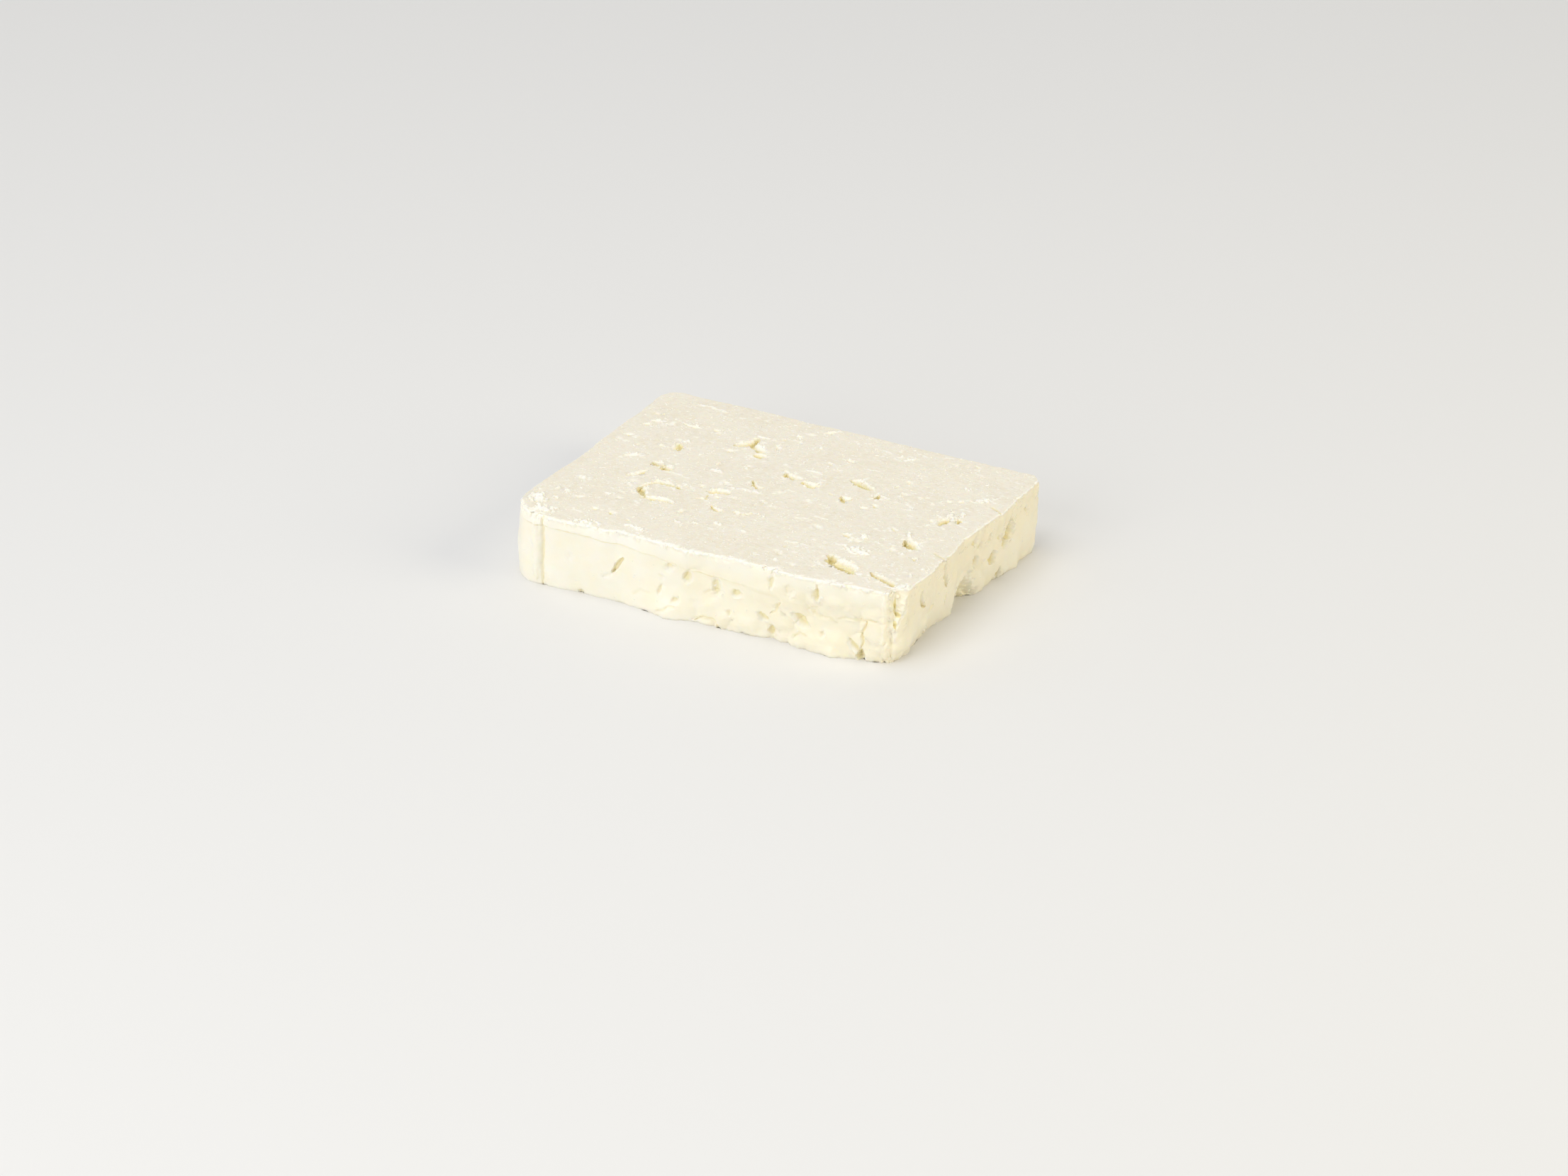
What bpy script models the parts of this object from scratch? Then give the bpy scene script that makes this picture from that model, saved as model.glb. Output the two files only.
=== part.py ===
"""A block of feta, as one solid.

The model is in metres with +Z up. The long front side of the block faces -Y and
its short right side faces +X. The origin lies under the middle of the block, on
the plane that it rests on. Sizes of the form below are in millimetres, and each
point is turned into metres when it is placed.

The block starts as a plain box that is cut into a lattice, finer where the
cheese is torn or pitted. Every point of the lattice is then moved to its place
on the block by shaped_point.
"""

import math
from collections import namedtuple

import bmesh
import bpy
from mathutils import Vector, noise

MILLIMETRE = 0.001

# Driving sizes of the block
LENGTH = 113.4
DEPTH = 82.0
HEIGHT = 20.5

# Plan: radius of each upright corner, by (is it right, is it at the back)
CORNER_RADIUS = {
    (False, False): 10.0,
    (True, False): 5.0,
    (False, True): 6.0,
    (True, True): 3.8,
}
BACK_SLANT = 0.032  # the back side runs forward by this much for each millimetre to the right
BACK_EXTRA = -1.0
LEFT_FLARE = 1.4  # the left side moves out towards its near corner
RIGHT_FLARE = 1.0  # and the right side towards its far corner
FLARE_START = 5.0
FLARE_LENGTH = 30.0
PLAN_MIDDLE = Vector((0.0, -0.3, 0.0))  # the middle of the uneven plan, put over the origin

# Section: rounding of the cut edge and of the base, and how the sides lean
TOP_ROUND = 1.3
BASE_ROUND = 0.7
LEFT_LEAN = 1.5
RIGHT_LEAN_NEAR = 2.8
RIGHT_LEAN_FAR = 2.0
LEAN_CHANGE_END = 25.0
BARREL = 0.45

# Lattice: spacing of the coarse cells, and the two finer levels
COARSE = 3.4
FINER_SPACINGS = (2.0, 1.0)
MARK_MARGINS = (1.5, 1.15)
DEEP_MARK = 0.75
ON_FACE = 0.01  # a cell this near a flat face of the box lies on it
TOP_FADE = 4.0  # how far in from the edge the top follows a side's relief
BASE_FADE = 7.0
LUMPS_START = -20.0  # the front is lumpy, and so cut finer, to the right of this
FLAT_INSET = 3.6  # the underside is one flat face further in than this

# Relief: soft waves, and the lumps of curd that show on the sides
WAVE_LENGTH = 17.0
WAVE_HEIGHT = 0.45
TOP_WAVE_HEIGHT = 0.12
CURD_SIZE = 8.5
CURD_BULGE = 1.1
CURD_MIDDLE = 0.5
CURD_CREASE = 0.7
CURD_CREASE_WIDTH = 0.22
RAGGED = 0.35
RAGGED_LENGTH = 1.6
FRONT_LUMPS = 0.12  # share of the curd's relief that all of the front has
MORE_LUMPS = 0.6  # and what its right part has on top of that
MORE_LUMPS_START = -30.0
MORE_LUMPS_END = 30.0
LUMPS_OVER_SEAM = 6.0  # the lumps end this far over the seam
RIGHT_LUMPS = 0.5
PLAIN_LUMPS = 0.35
OWN_RELIEF_START = 0.45  # a side's own relief starts and is full where a corner faces it so far
OWN_RELIEF_FULL = 0.85

# The moulded band below the front's cut edge, which ends in a fine step
SEAM_LOW = 12.2
SEAM_DROP = 5.7
SEAM_MIDDLE = -2.0
SEAM_SPREAD = 13.0
SEAM_HALF_STEP = 0.5
BAND_PROUD = 0.45
BAND_END = 60.0

# A mark is an oval hollow on a face. Its steep wall is on the side that the turn
# puts at its right hand, a share 'steep' of the way across. A negative depth
# makes a lump.
Mark = namedtuple("Mark", "u v long wide turn depth steep")

# Tears and pits of the cut face, by x and y
TOP_MARKS = (
    Mark(-49.1, 19.9, 1.6, 1.0, 0, 0.9, 0.2),
    Mark(-46.8, 22.9, 2.8, 1.2, 25, 0.7, 0.2),
    Mark(-35.0, 11.8, 3.1, 1.6, 115, 1.4, 0.4),
    Mark(-34.6, -0.3, 2.2, 1.7, -5, 1.3, 0.2),
    Mark(-31.0, -0.9, 2.3, 1.8, 0, 1.3, 0.2),
    Mark(-36.6, -9.0, 1.6, 1.0, 30, 0.9, 0.2),
    Mark(-31.0, -14.3, 1.8, 1.2, 35, 1.2, 0.25),
    Mark(-29.4, -11.2, 1.9, 0.9, 65, 1.0, 0.3),
    Mark(-24.5, -11.9, 3.8, 0.9, -24, 0.6, 0.25),
    Mark(-29.6, -18.2, 2.5, 1.1, -60, 1.2, 0.3),
    Mark(-25.5, -19.2, 3.6, 1.3, -12, 0.9, 0.2),
    Mark(-22.5, -9.8, 1.7, 1.1, -5, 0.8, 0.2),
    Mark(-11.4, -8.1, 3.1, 1.7, 3, 1.3, 0.2),
    Mark(-4.9, -2.0, 1.6, 0.9, -28, 0.7, 0.2),
    Mark(-20.0, 21.8, 5.4, 1.1, 70, 1.5, 0.5),
    Mark(-15.4, 19.7, 3.3, 1.4, -35, 0.9, 0.2),
    Mark(-12.2, 16.3, 2.8, 1.6, -30, 1.2, 0.2),
    Mark(0.3, 9.0, 3.3, 1.6, -8, 0.9, 0.2),
    Mark(7.1, 7.2, 3.0, 1.7, 12, 0.8, 0.25),
    Mark(19.4, 12.4, 4.7, 1.5, -24, 1.1, 0.2),
    Mark(25.1, 7.4, 2.0, 1.1, 105, 1.6, 0.5),
    Mark(18.5, 2.7, 1.9, 1.2, -20, 0.9, 0.2),
    Mark(27.8, -15.5, 2.0, 1.6, -25, 1.0, 0.2),
    Mark(46.6, 2.1, 1.8, 1.2, 70, 1.1, 0.4),
    Mark(45.4, -14.8, 2.8, 1.7, -25, 1.1, 0.2),
    Mark(35.4, -31.6, 6.2, 1.9, -20, 1.4, 0.2),
    Mark(47.8, -34.4, 4.2, 1.1, -22, 0.8, 0.2),
    Mark(-38.0, 36.4, 5.0, 1.0, -5, -0.3, 0.5),
    Mark(-53.4, -38.2, 6.0, 4.2, -48, 0.8, 0.5),
)

# Pits, creases and lumps of the front, by x and z
FRONT_MARKS = (
    Mark(-46.1, 11.0, 11.5, 1.5, -90, 0.8, 0.5),
    Mark(-24.4, 10.9, 2.7, 1.2, -120, 1.6, 0.3),
    Mark(-8.8, 13.8, 1.7, 1.1, 195, 0.9, 0.4),
    Mark(-3.4, 12.6, 2.4, 1.5, -115, 1.2, 0.4),
    Mark(-7.4, 4.8, 1.6, 1.0, 210, 0.9, 0.4),
    Mark(4.6, 11.8, 2.8, 1.3, -80, 0.8, 0.4),
    Mark(10.3, 10.7, 1.6, 1.1, 220, 1.1, 0.4),
    Mark(17.3, 6.0, 1.8, 1.1, 155, 1.3, 0.4),
    Mark(20.8, 17.2, 2.1, 1.0, -100, 0.6, 0.3),
    Mark(25.9, 15.8, 1.8, 1.4, -90, 0.6, 0.4),
    Mark(33.3, 16.4, 2.4, 1.0, -90, 0.9, 0.4),
    Mark(19.9, 2.4, 1.6, 1.3, -90, 1.5, 0.5),
    Mark(28.4, 7.8, 2.7, 1.6, 155, 1.5, 0.4),
    Mark(43.2, 3.6, 2.8, 1.1, 130, 0.8, 0.4),
    Mark(45.1, 1.6, 2.4, 1.2, -90, 2.2, 0.5),
    Mark(46.1, 8.0, 4.4, 1.0, -102, 0.7, 0.4),
    Mark(-35.6, 1.5, 2.8, 2.4, 0, 1.0, 0.5),
    Mark(-10.0, 1.5, 6.0, 4.6, 0, -1.3, 0.5),
    Mark(6.0, 1.5, 4.2, 4.0, 0, -0.9, 0.5),
    Mark(35.5, 2.5, 9.0, 5.4, 0, -1.3, 0.5),
    Mark(-30.0, 1.0, 5.0, 3.0, 0, -0.5, 0.5),
    Mark(11.5, 2.0, 2.2, 2.0, 0, 0.6, 0.5),
)

# Pits, creases and lumps of the right side, by y and z
RIGHT_MARKS = (
    Mark(19.6, 13.0, 3.1, 2.0, -70, 1.5, 0.4),
    Mark(17.5, 10.6, 1.6, 1.0, -75, 0.9, 0.4),
    Mark(8.2, 15.6, 1.2, 0.9, -80, 0.7, 0.4),
    Mark(28.2, 15.1, 1.4, 0.8, -75, 0.6, 0.4),
    Mark(11.9, 8.3, 1.9, 1.4, -70, 1.2, 0.4),
    Mark(3.4, 10.6, 1.5, 1.0, -80, 0.9, 0.4),
    Mark(1.0, 17.2, 1.4, 0.8, -75, 0.5, 0.4),
    Mark(-16.4, 16.2, 5.0, 1.0, -80, 0.8, 0.3),
    Mark(-28.6, 14.4, 3.2, 1.0, -75, 0.8, 0.3),
    Mark(-20.3, 6.8, 2.2, 1.0, 50, 0.7, 0.4),
    Mark(-12.8, 6.9, 1.6, 0.9, -85, 0.6, 0.4),
    Mark(-1.0, 1.5, 5.2, 6.0, -14, 3.6, 0.25),
    Mark(-0.8, 6.8, 1.8, 0.9, 45, 0.8, 0.4),
    Mark(16.5, 1.4, 2.0, 0.9, -90, 1.6, 0.5),
    Mark(-20.8, 1.6, 1.8, 1.4, -90, 0.9, 0.5),
    Mark(16.4, 19.6, 2.2, 1.4, 0, 1.1, 0.5),
    Mark(9.0, 18.6, 5.0, 3.0, 0, -0.4, 0.5),
    Mark(-3.0, 19.6, 4.6, 2.6, 0, 0.4, 0.5),
    Mark(-23.6, 5.0, 3.0, 2.4, -60, -0.7, 0.5),
    Mark(-33.5, 3.8, 4.4, 3.6, 0, -0.6, 0.5),
)

# The break in the near right corner: a ball-shaped bite drawn out along Z
BREAK_CENTRE = Vector((55.2, -39.6, 15.0))
BREAK_REACH = Vector((3.0, 3.0, 6.5))
BREAK_DEPTH = 2.0

FETA_COLOUR = (0.87, 0.81, 0.66, 1.0)
FETA_ROUGHNESS = 0.55
FETA_SUBSURFACE = 0.3
FETA_SUBSURFACE_SCALE = 0.0025
FETA_SUBSURFACE_RADIUS = (1.0, 0.7, 0.35)


def smooth_step(low, high, value):
    """0 below low, 1 above high and a soft ramp between them."""
    share = min(max((value - low) / (high - low), 0.0), 1.0)
    return share * share * (3.0 - 2.0 * share)


def fade_out(distance, reach):
    return 1.0 - smooth_step(0.0, reach, distance)


def mark_depth(mark, u, v):
    """How far a mark sinks its face at (u, v)."""
    cosine = math.cos(math.radians(mark.turn))
    sine = math.sin(math.radians(mark.turn))
    away_u = u - mark.u
    away_v = v - mark.v
    along = (away_u * cosine + away_v * sine) / mark.long
    across = (away_v * cosine - away_u * sine) / mark.wide
    if abs(along) >= 1.0 or abs(across) >= 1.0 + RAGGED:
        return 0.0
    rim = noise.noise(Vector((u / RAGGED_LENGTH, v / RAGGED_LENGTH, mark.u)))
    reach = math.sqrt(1.0 - along * along) * (1.0 + RAGGED * rim)
    place = 0.5 + 0.5 * across / reach
    if not 0.0 < place < 1.0:
        return 0.0
    if place < mark.steep:
        wall = place / mark.steep
    else:
        wall = (1.0 - place) / (1.0 - mark.steep)
    return mark.depth * smooth_step(0.0, 1.0, wall) * math.sqrt(min(reach, 1.0))


def depth_of(marks, u, v):
    """The deepest hollow and the highest lump of a list of marks at (u, v), together."""
    depths = [mark_depth(mark, u, v) for mark in marks]
    return max(depths + [0.0]) + min(depths + [0.0])


def near_mark(marks, u, v, level):
    """Whether (u, v) lies on a mark or just outside it. The second level leaves out shallow ones."""
    for mark in marks:
        if level and abs(mark.depth) < DEEP_MARK:
            continue
        turn = math.radians(mark.turn)
        along = (u - mark.u) * math.cos(turn) + (v - mark.v) * math.sin(turn)
        across = (v - mark.v) * math.cos(turn) - (u - mark.u) * math.sin(turn)
        if math.hypot(along / mark.long, across / mark.wide) < MARK_MARGINS[level]:
            return True
    return False


def curd_relief(point):
    """Lumps of curd, with a crease where two of them meet."""
    near, far = noise.voronoi(point / CURD_SIZE)[0][:2]
    crease = 1.0 - min((far - near) / CURD_CREASE_WIDTH, 1.0)
    return CURD_BULGE * (CURD_MIDDLE - near) - CURD_CREASE * crease * crease


def seam_height(x):
    return SEAM_LOW + SEAM_DROP / (1.0 + math.exp((x - SEAM_MIDDLE) / SEAM_SPREAD))


def front_relief(point):
    """Relief of the front: smooth at the left and ever more lumpy to the right."""
    seam = seam_height(point.x)
    step = smooth_step(seam - SEAM_HALF_STEP, seam + SEAM_HALF_STEP, point.z)
    band = BAND_PROUD * step * fade_out(point.x, BAND_END)
    more = smooth_step(MORE_LUMPS_START, MORE_LUMPS_END, point.x)
    lumpy = FRONT_LUMPS + MORE_LUMPS * more * fade_out(point.z - seam, LUMPS_OVER_SEAM)
    return band + lumpy * curd_relief(point) - depth_of(FRONT_MARKS, point.x, point.z)


def right_relief(point):
    return RIGHT_LUMPS * curd_relief(point) - depth_of(RIGHT_MARKS, point.y, point.z)


def side_relief(point, outward):
    """How far a side stands out at a point: waves, curd and marks, blended round the corners."""
    share_front = smooth_step(OWN_RELIEF_START, OWN_RELIEF_FULL, -outward.y)
    share_right = smooth_step(OWN_RELIEF_START, OWN_RELIEF_FULL, outward.x)
    relief = WAVE_HEIGHT * noise.noise(point / WAVE_LENGTH)
    relief += BARREL * math.sin(math.pi * point.z / HEIGHT)
    if share_front > 0.0:
        relief += share_front * front_relief(point)
    if share_right > 0.0:
        relief += share_right * right_relief(point)
    relief += PLAIN_LUMPS * (1.0 - max(share_front, share_right)) * curd_relief(point)
    away = point - BREAK_CENTRE
    scaled = math.sqrt(sum((away[axis] / BREAK_REACH[axis]) ** 2 for axis in range(3)))
    return relief - BREAK_DEPTH * fade_out(scaled, 1.0)


def round_plan(x, y):
    """Moves a point of the rectangle into the outline with round corners.

    It gives the new x and y, and the outward direction of the nearest side.
    """
    radius = CORNER_RADIUS[x > 0.0, y > 0.0]
    core_x = LENGTH / 2 - radius
    core_y = DEPTH / 2 - radius
    over_x = (abs(x) - core_x) / radius
    over_y = (abs(y) - core_y) / radius
    if over_x > 0.0 and over_y > 0.0:
        pull = max(over_x, over_y) / math.hypot(over_x, over_y)
        outward = Vector((math.copysign(over_x, x), math.copysign(over_y, y), 0.0)).normalized()
        x = math.copysign(core_x + radius * over_x * pull, x)
        y = math.copysign(core_y + radius * over_y * pull, y)
    elif LENGTH / 2 - abs(x) < DEPTH / 2 - abs(y):
        outward = Vector((math.copysign(1.0, x), 0.0, 0.0))
    else:
        outward = Vector((0.0, math.copysign(1.0, y), 0.0))
    return x, y, outward


def skew_plan(x, y, z):
    """Gives the plan its uneven sides: a slanting back, a flared left and a leaning right."""
    back_share = (y + DEPTH / 2) / DEPTH
    right_share = (x + LENGTH / 2) / LENGTH
    skewed_y = y + back_share * (BACK_EXTRA - BACK_SLANT * x)
    left_flare = LEFT_FLARE * smooth_step(FLARE_START, FLARE_START + FLARE_LENGTH, -y)
    right_flare = RIGHT_FLARE * smooth_step(FLARE_START, FLARE_START + FLARE_LENGTH, y)
    lean_change = smooth_step(0.0, LEAN_CHANGE_END, y)
    lean = RIGHT_LEAN_NEAR + (RIGHT_LEAN_FAR - RIGHT_LEAN_NEAR) * lean_change
    skewed_x = x + right_share * right_flare - (1.0 - right_share) * left_flare
    skewed_x += (1.0 - right_share) ** 2 * LEFT_LEAN * z / HEIGHT
    skewed_x -= right_share ** 2 * lean * (1.0 - z / HEIGHT)
    return skewed_x, skewed_y


def round_edge(inset, height, radius):
    """Rounds the edge between a side and a flat face.

    The distances are measured from the sharp edge: inset along the flat face and
    height along the side.
    """
    if inset >= radius or height >= radius:
        return inset, height
    over_flat = (radius - inset) / radius
    over_side = (radius - height) / radius
    pull = max(over_flat, over_side) / math.hypot(over_flat, over_side)
    return radius * (1.0 - over_flat * pull), radius * (1.0 - over_side * pull)


def bare_point(box_point):
    """The place of a point of the plain box on the block without its relief.

    It also gives the outward direction of the nearest side.
    """
    inset = min(LENGTH / 2 - abs(box_point.x), DEPTH / 2 - abs(box_point.y))
    x, y, outward = round_plan(box_point.x, box_point.y)
    if box_point.z > HEIGHT / 2:
        new_inset, fall = round_edge(inset, HEIGHT - box_point.z, TOP_ROUND)
        z = HEIGHT - fall
    else:
        new_inset, z = round_edge(inset, box_point.z, BASE_ROUND)
    point = Vector((x, y, z)) + outward * (inset - new_inset)
    point.x, point.y = skew_plan(point.x, point.y, point.z)
    return point, outward


def shaped_point(box_point):
    """The place on the block of a point of the plain box, both in millimetres."""
    inset = min(LENGTH / 2 - abs(box_point.x), DEPTH / 2 - abs(box_point.y))
    point, outward = bare_point(box_point)
    is_high = box_point.z > HEIGHT / 2
    fade = fade_out(inset, TOP_FADE if is_high else BASE_FADE)
    if fade > 0.0:
        point += outward * fade * side_relief(point, outward)
    if box_point.z > HEIGHT - TOP_ROUND:
        point.z -= depth_of(TOP_MARKS, point.x, point.y)
        point.z += TOP_WAVE_HEIGHT * noise.noise(point / WAVE_LENGTH)
    return point


def lattice_places(size, start, edge_steps):
    """Where to cut one side of the box: close together at its ends, evenly between."""
    inner = size - sum(edge_steps) * 2
    count = round(inner / COARSE)
    ends = []
    reached = 0.0
    for step in edge_steps:
        reached += step
        ends += [start + reached, start + size - reached]
    between = [start + reached + inner * index / count for index in range(1, count)]
    return sorted(ends + between)


def plain_box():
    """A box of the block's size, cut into a lattice of coarse cells."""
    mesh = bmesh.new()
    bmesh.ops.create_cube(mesh, size=1.0)
    bmesh.ops.translate(mesh, verts=mesh.verts, vec=(0.0, 0.0, 0.5))
    bmesh.ops.scale(mesh, verts=mesh.verts, vec=(LENGTH, DEPTH, HEIGHT))
    sides = (
        (Vector((1.0, 0.0, 0.0)), LENGTH, -LENGTH / 2),
        (Vector((0.0, 1.0, 0.0)), DEPTH, -DEPTH / 2),
        (Vector((0.0, 0.0, 1.0)), HEIGHT, 0.0),
    )
    for direction, size, start in sides:
        for place in lattice_places(size, start, (TOP_ROUND / 2, TOP_ROUND / 2)):
            bmesh.ops.bisect_plane(
                mesh,
                geom=mesh.verts[:] + mesh.edges[:] + mesh.faces[:],
                plane_co=direction * place,
                plane_no=direction,
            )
    return mesh


def wants_cut(box_point, level):
    """Whether the lattice is made finer at a point of the box, at the first or second level."""
    point = bare_point(box_point)[0]
    if box_point.z > HEIGHT - ON_FACE:
        return near_mark(TOP_MARKS, point.x, point.y, level)
    if box_point.z < ON_FACE:
        return False
    if box_point.y < -DEPTH / 2 + ON_FACE:
        if level == 0 and point.x > LUMPS_START:
            return True
        return near_mark(FRONT_MARKS, point.x, point.z, level)
    if box_point.x > LENGTH / 2 - ON_FACE:
        return level == 0 or near_mark(RIGHT_MARKS, point.y, point.z, level)
    return False


def refine(mesh):
    """Halves the long edges of the cells that lie on marks, level by level."""
    for level, spacing in enumerate(FINER_SPACINGS):
        chosen = {
            edge
            for face in mesh.faces
            if wants_cut(face.calc_center_median(), level)
            for edge in face.edges
            if edge.calc_length() > spacing
        }
        bmesh.ops.subdivide_edges(mesh, edges=list(chosen), cuts=1, use_grid_fill=True)


def join_underside(mesh):
    """Makes the flat middle of the underside one face."""
    limit_x = LENGTH / 2 - FLAT_INSET
    limit_y = DEPTH / 2 - FLAT_INSET
    middle = [
        face
        for face in mesh.faces
        if all(
            vert.co.z < ON_FACE and abs(vert.co.x) < limit_x and abs(vert.co.y) < limit_y
            for vert in face.verts
        )
    ]
    bmesh.ops.dissolve_faces(mesh, faces=middle, use_verts=True)


def feta_material():
    material = bpy.data.materials.new("feta")
    material.use_nodes = True
    shader = material.node_tree.nodes["Principled BSDF"]
    shader.inputs["Base Color"].default_value = FETA_COLOUR
    shader.inputs["Roughness"].default_value = FETA_ROUGHNESS
    shader.inputs["Metallic"].default_value = 0.0
    shader.inputs["Subsurface Weight"].default_value = FETA_SUBSURFACE
    shader.inputs["Subsurface Radius"].default_value = FETA_SUBSURFACE_RADIUS
    shader.inputs["Subsurface Scale"].default_value = FETA_SUBSURFACE_SCALE
    return material


def feta_block():
    """The whole block, resting on the plane z = 0."""
    mesh = plain_box()
    refine(mesh)
    join_underside(mesh)
    for vert in mesh.verts:
        vert.co = (shaped_point(vert.co) - PLAN_MIDDLE) * MILLIMETRE
    bmesh.ops.triangulate(mesh, faces=mesh.faces)
    bmesh.ops.recalc_face_normals(mesh, faces=mesh.faces)
    data = bpy.data.meshes.new("feta_block")
    mesh.to_mesh(data)
    mesh.free()
    data.materials.append(feta_material())
    data.shade_smooth()
    block = bpy.data.objects.new("feta_block", data)
    bpy.context.scene.collection.objects.link(block)
    return block


def main():
    for old in list(bpy.data.objects):
        bpy.data.objects.remove(old)
    feta_block()


main()
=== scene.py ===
"""Looks of the feta block.

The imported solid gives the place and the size. One fine mesh of the same form stands
for it: the cut face with its tears, the moulded front with its seam and curd lumps,
the torn right side, and the plain back and left side. Flecks and shards of loose
curd cling to it. Sizes are in millimetres unless a name says otherwise.
"""

import logging
import math
import random
from collections.abc import Sequence
from dataclasses import dataclass, field
from enum import Enum

import bmesh
import bpy
import numpy as np
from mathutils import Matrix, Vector, noise


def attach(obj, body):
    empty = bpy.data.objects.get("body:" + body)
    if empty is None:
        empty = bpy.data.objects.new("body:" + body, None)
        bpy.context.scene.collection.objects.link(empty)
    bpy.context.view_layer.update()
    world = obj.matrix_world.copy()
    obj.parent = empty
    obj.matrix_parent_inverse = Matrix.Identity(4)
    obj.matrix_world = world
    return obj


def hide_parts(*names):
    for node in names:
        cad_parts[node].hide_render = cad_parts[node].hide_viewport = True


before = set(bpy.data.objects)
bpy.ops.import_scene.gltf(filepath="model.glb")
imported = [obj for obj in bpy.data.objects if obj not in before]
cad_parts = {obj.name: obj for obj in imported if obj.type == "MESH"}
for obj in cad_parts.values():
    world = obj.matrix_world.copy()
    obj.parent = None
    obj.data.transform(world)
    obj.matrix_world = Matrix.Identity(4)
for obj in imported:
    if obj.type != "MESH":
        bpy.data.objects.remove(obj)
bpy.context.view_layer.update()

LOG = logging.getLogger("feta_block")
MILLIMETRE = 0.001
NODE = "feta_block"
BODY = "root"
# Without a seed of its own, the vector noise would start from the clock
NOISE_SEED = 4

Array = np.ndarray
Values = dict[str, Array]
Line = tuple[tuple[float, float], ...]
Range = tuple[float, float]
Colour = tuple[float, float, float, float]

# Middles of grains are multiplied by this, so that each draws its own value
GRAIN_DRAW = 37.7
# A point within this of the floor or of the plane of the cut counts as on it
ON_PLANE = 0.01
DIAGONAL = 0.7071
TINY = 1e-9
FAR_AWAY = 1e9


def smooth_step(low: float, high: float, value: Array) -> Array:
    """A soft ramp from 0 to 1.

    Args:
        low: where the ramp starts.
        high: where it ends, which may be below low.
        value: where it is read.

    Returns:
        The ramp's height at each value.
    """
    share = np.clip((value - low) / (high - low), 0.0, 1.0)
    return share * share * (3.0 - 2.0 * share)


def at_least(least: float, share: Array) -> Array:
    """A value that runs from least where share is 0 to 1 where it is 1."""
    return least + (1.0 - least) * share


def noise_at(points: Array, wavelength: float, shift: float = 0.0) -> Array:
    """Gradient noise from about -1 to 1.

    Args:
        points: places, one row each.
        wavelength: size of its waves.
        shift: moves the pattern, so that two noises of one size differ.

    Returns:
        The noise at each place.
    """
    scaled = points / wavelength + shift
    return np.array([noise.noise(Vector(place)) for place in scaled])


def along_line(line: Line, places: Array) -> Array:
    """Reads a line of (place, value) points at other places, straight between its points."""
    return np.interp(places, [point[0] for point in line], [point[1] for point in line])


def chips_at(points: Array, size: float, shift: float = 0.0) -> Array:
    """One value from -1 to 1 for each small grain of curd, the same all over the grain.

    Args:
        points: places, one row each.
        size: size of a grain.
        shift: moves the pattern, so that two of one size differ.

    Returns:
        The value of the grain at each place.
    """
    scaled = points / size + shift
    middles = (noise.voronoi(Vector(place))[1][0] for place in scaled)
    return np.array([noise.cell(GRAIN_DRAW * middle) for middle in middles])


@dataclass(frozen=True)
class Waves:
    """Soft uneven relief, or patches, of one size.

    Attributes:
        length: length of the waves.
        shift: moves the pattern, so that two of one length differ.
        height: their height.
    """

    length: float
    shift: float
    height: float = 1.0

    def at(self, points: Array) -> Array:
        """Their height at points, one row each."""
        return self.height * noise_at(points, self.length, self.shift)


def waves_at(waves: Sequence[Waves], points: Array) -> Array:
    """Several waves added up at points, one row each."""
    return sum(each.at(points) for each in waves)


class Side(Enum):
    """The sides that carry marks, with the two directions that their marks are placed by."""

    TOP = ((1.0, 0.0, 0.0), (0.0, 1.0, 0.0))
    FRONT = ((1.0, 0.0, 0.0), (0.0, 0.0, 1.0))
    RIGHT = ((0.0, 1.0, 0.0), (0.0, 0.0, 1.0))
    CORNER = ((DIAGONAL, DIAGONAL, 0.0), (0.0, 0.0, 1.0))

    def flatten(self, points: Array) -> tuple[Array, Array]:
        """Places of points along the side's two directions.

        Args:
            points: points, one row each.

        Returns:
            Their places along the first direction and along the second.
        """
        first, second = self.value
        return points @ np.array(first), points @ np.array(second)


@dataclass
class Relief:
    """What marks do to the points of one side.

    Attributes:
        sink: how far each point goes in.
        ochre_shade: how much it shows painted shade, the dark yellow of a deep hollow, from 0 to 1.
        white_and_highlight: how much it shows the white of torn curd, partly painted highlight,
            from 0 to 1.
    """

    sink: Array
    ochre_shade: Array
    white_and_highlight: Array

    @classmethod
    def flat(cls, count: int) -> "Relief":
        """Relief of a side with no marks."""
        return cls(np.zeros(count), np.zeros(count), np.zeros(count))


@dataclass(frozen=True)
class Grit:
    """Noise that breaks up the rims of marks, read once at the points of a side.

    Attributes:
        soft: soft noise.
        chips: one value for each small grain of curd, so that rims break along grains.
        crisp: how crisp the rims are, from above 0 to 1.
    """

    soft: Array
    chips: Array
    crisp: float


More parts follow.
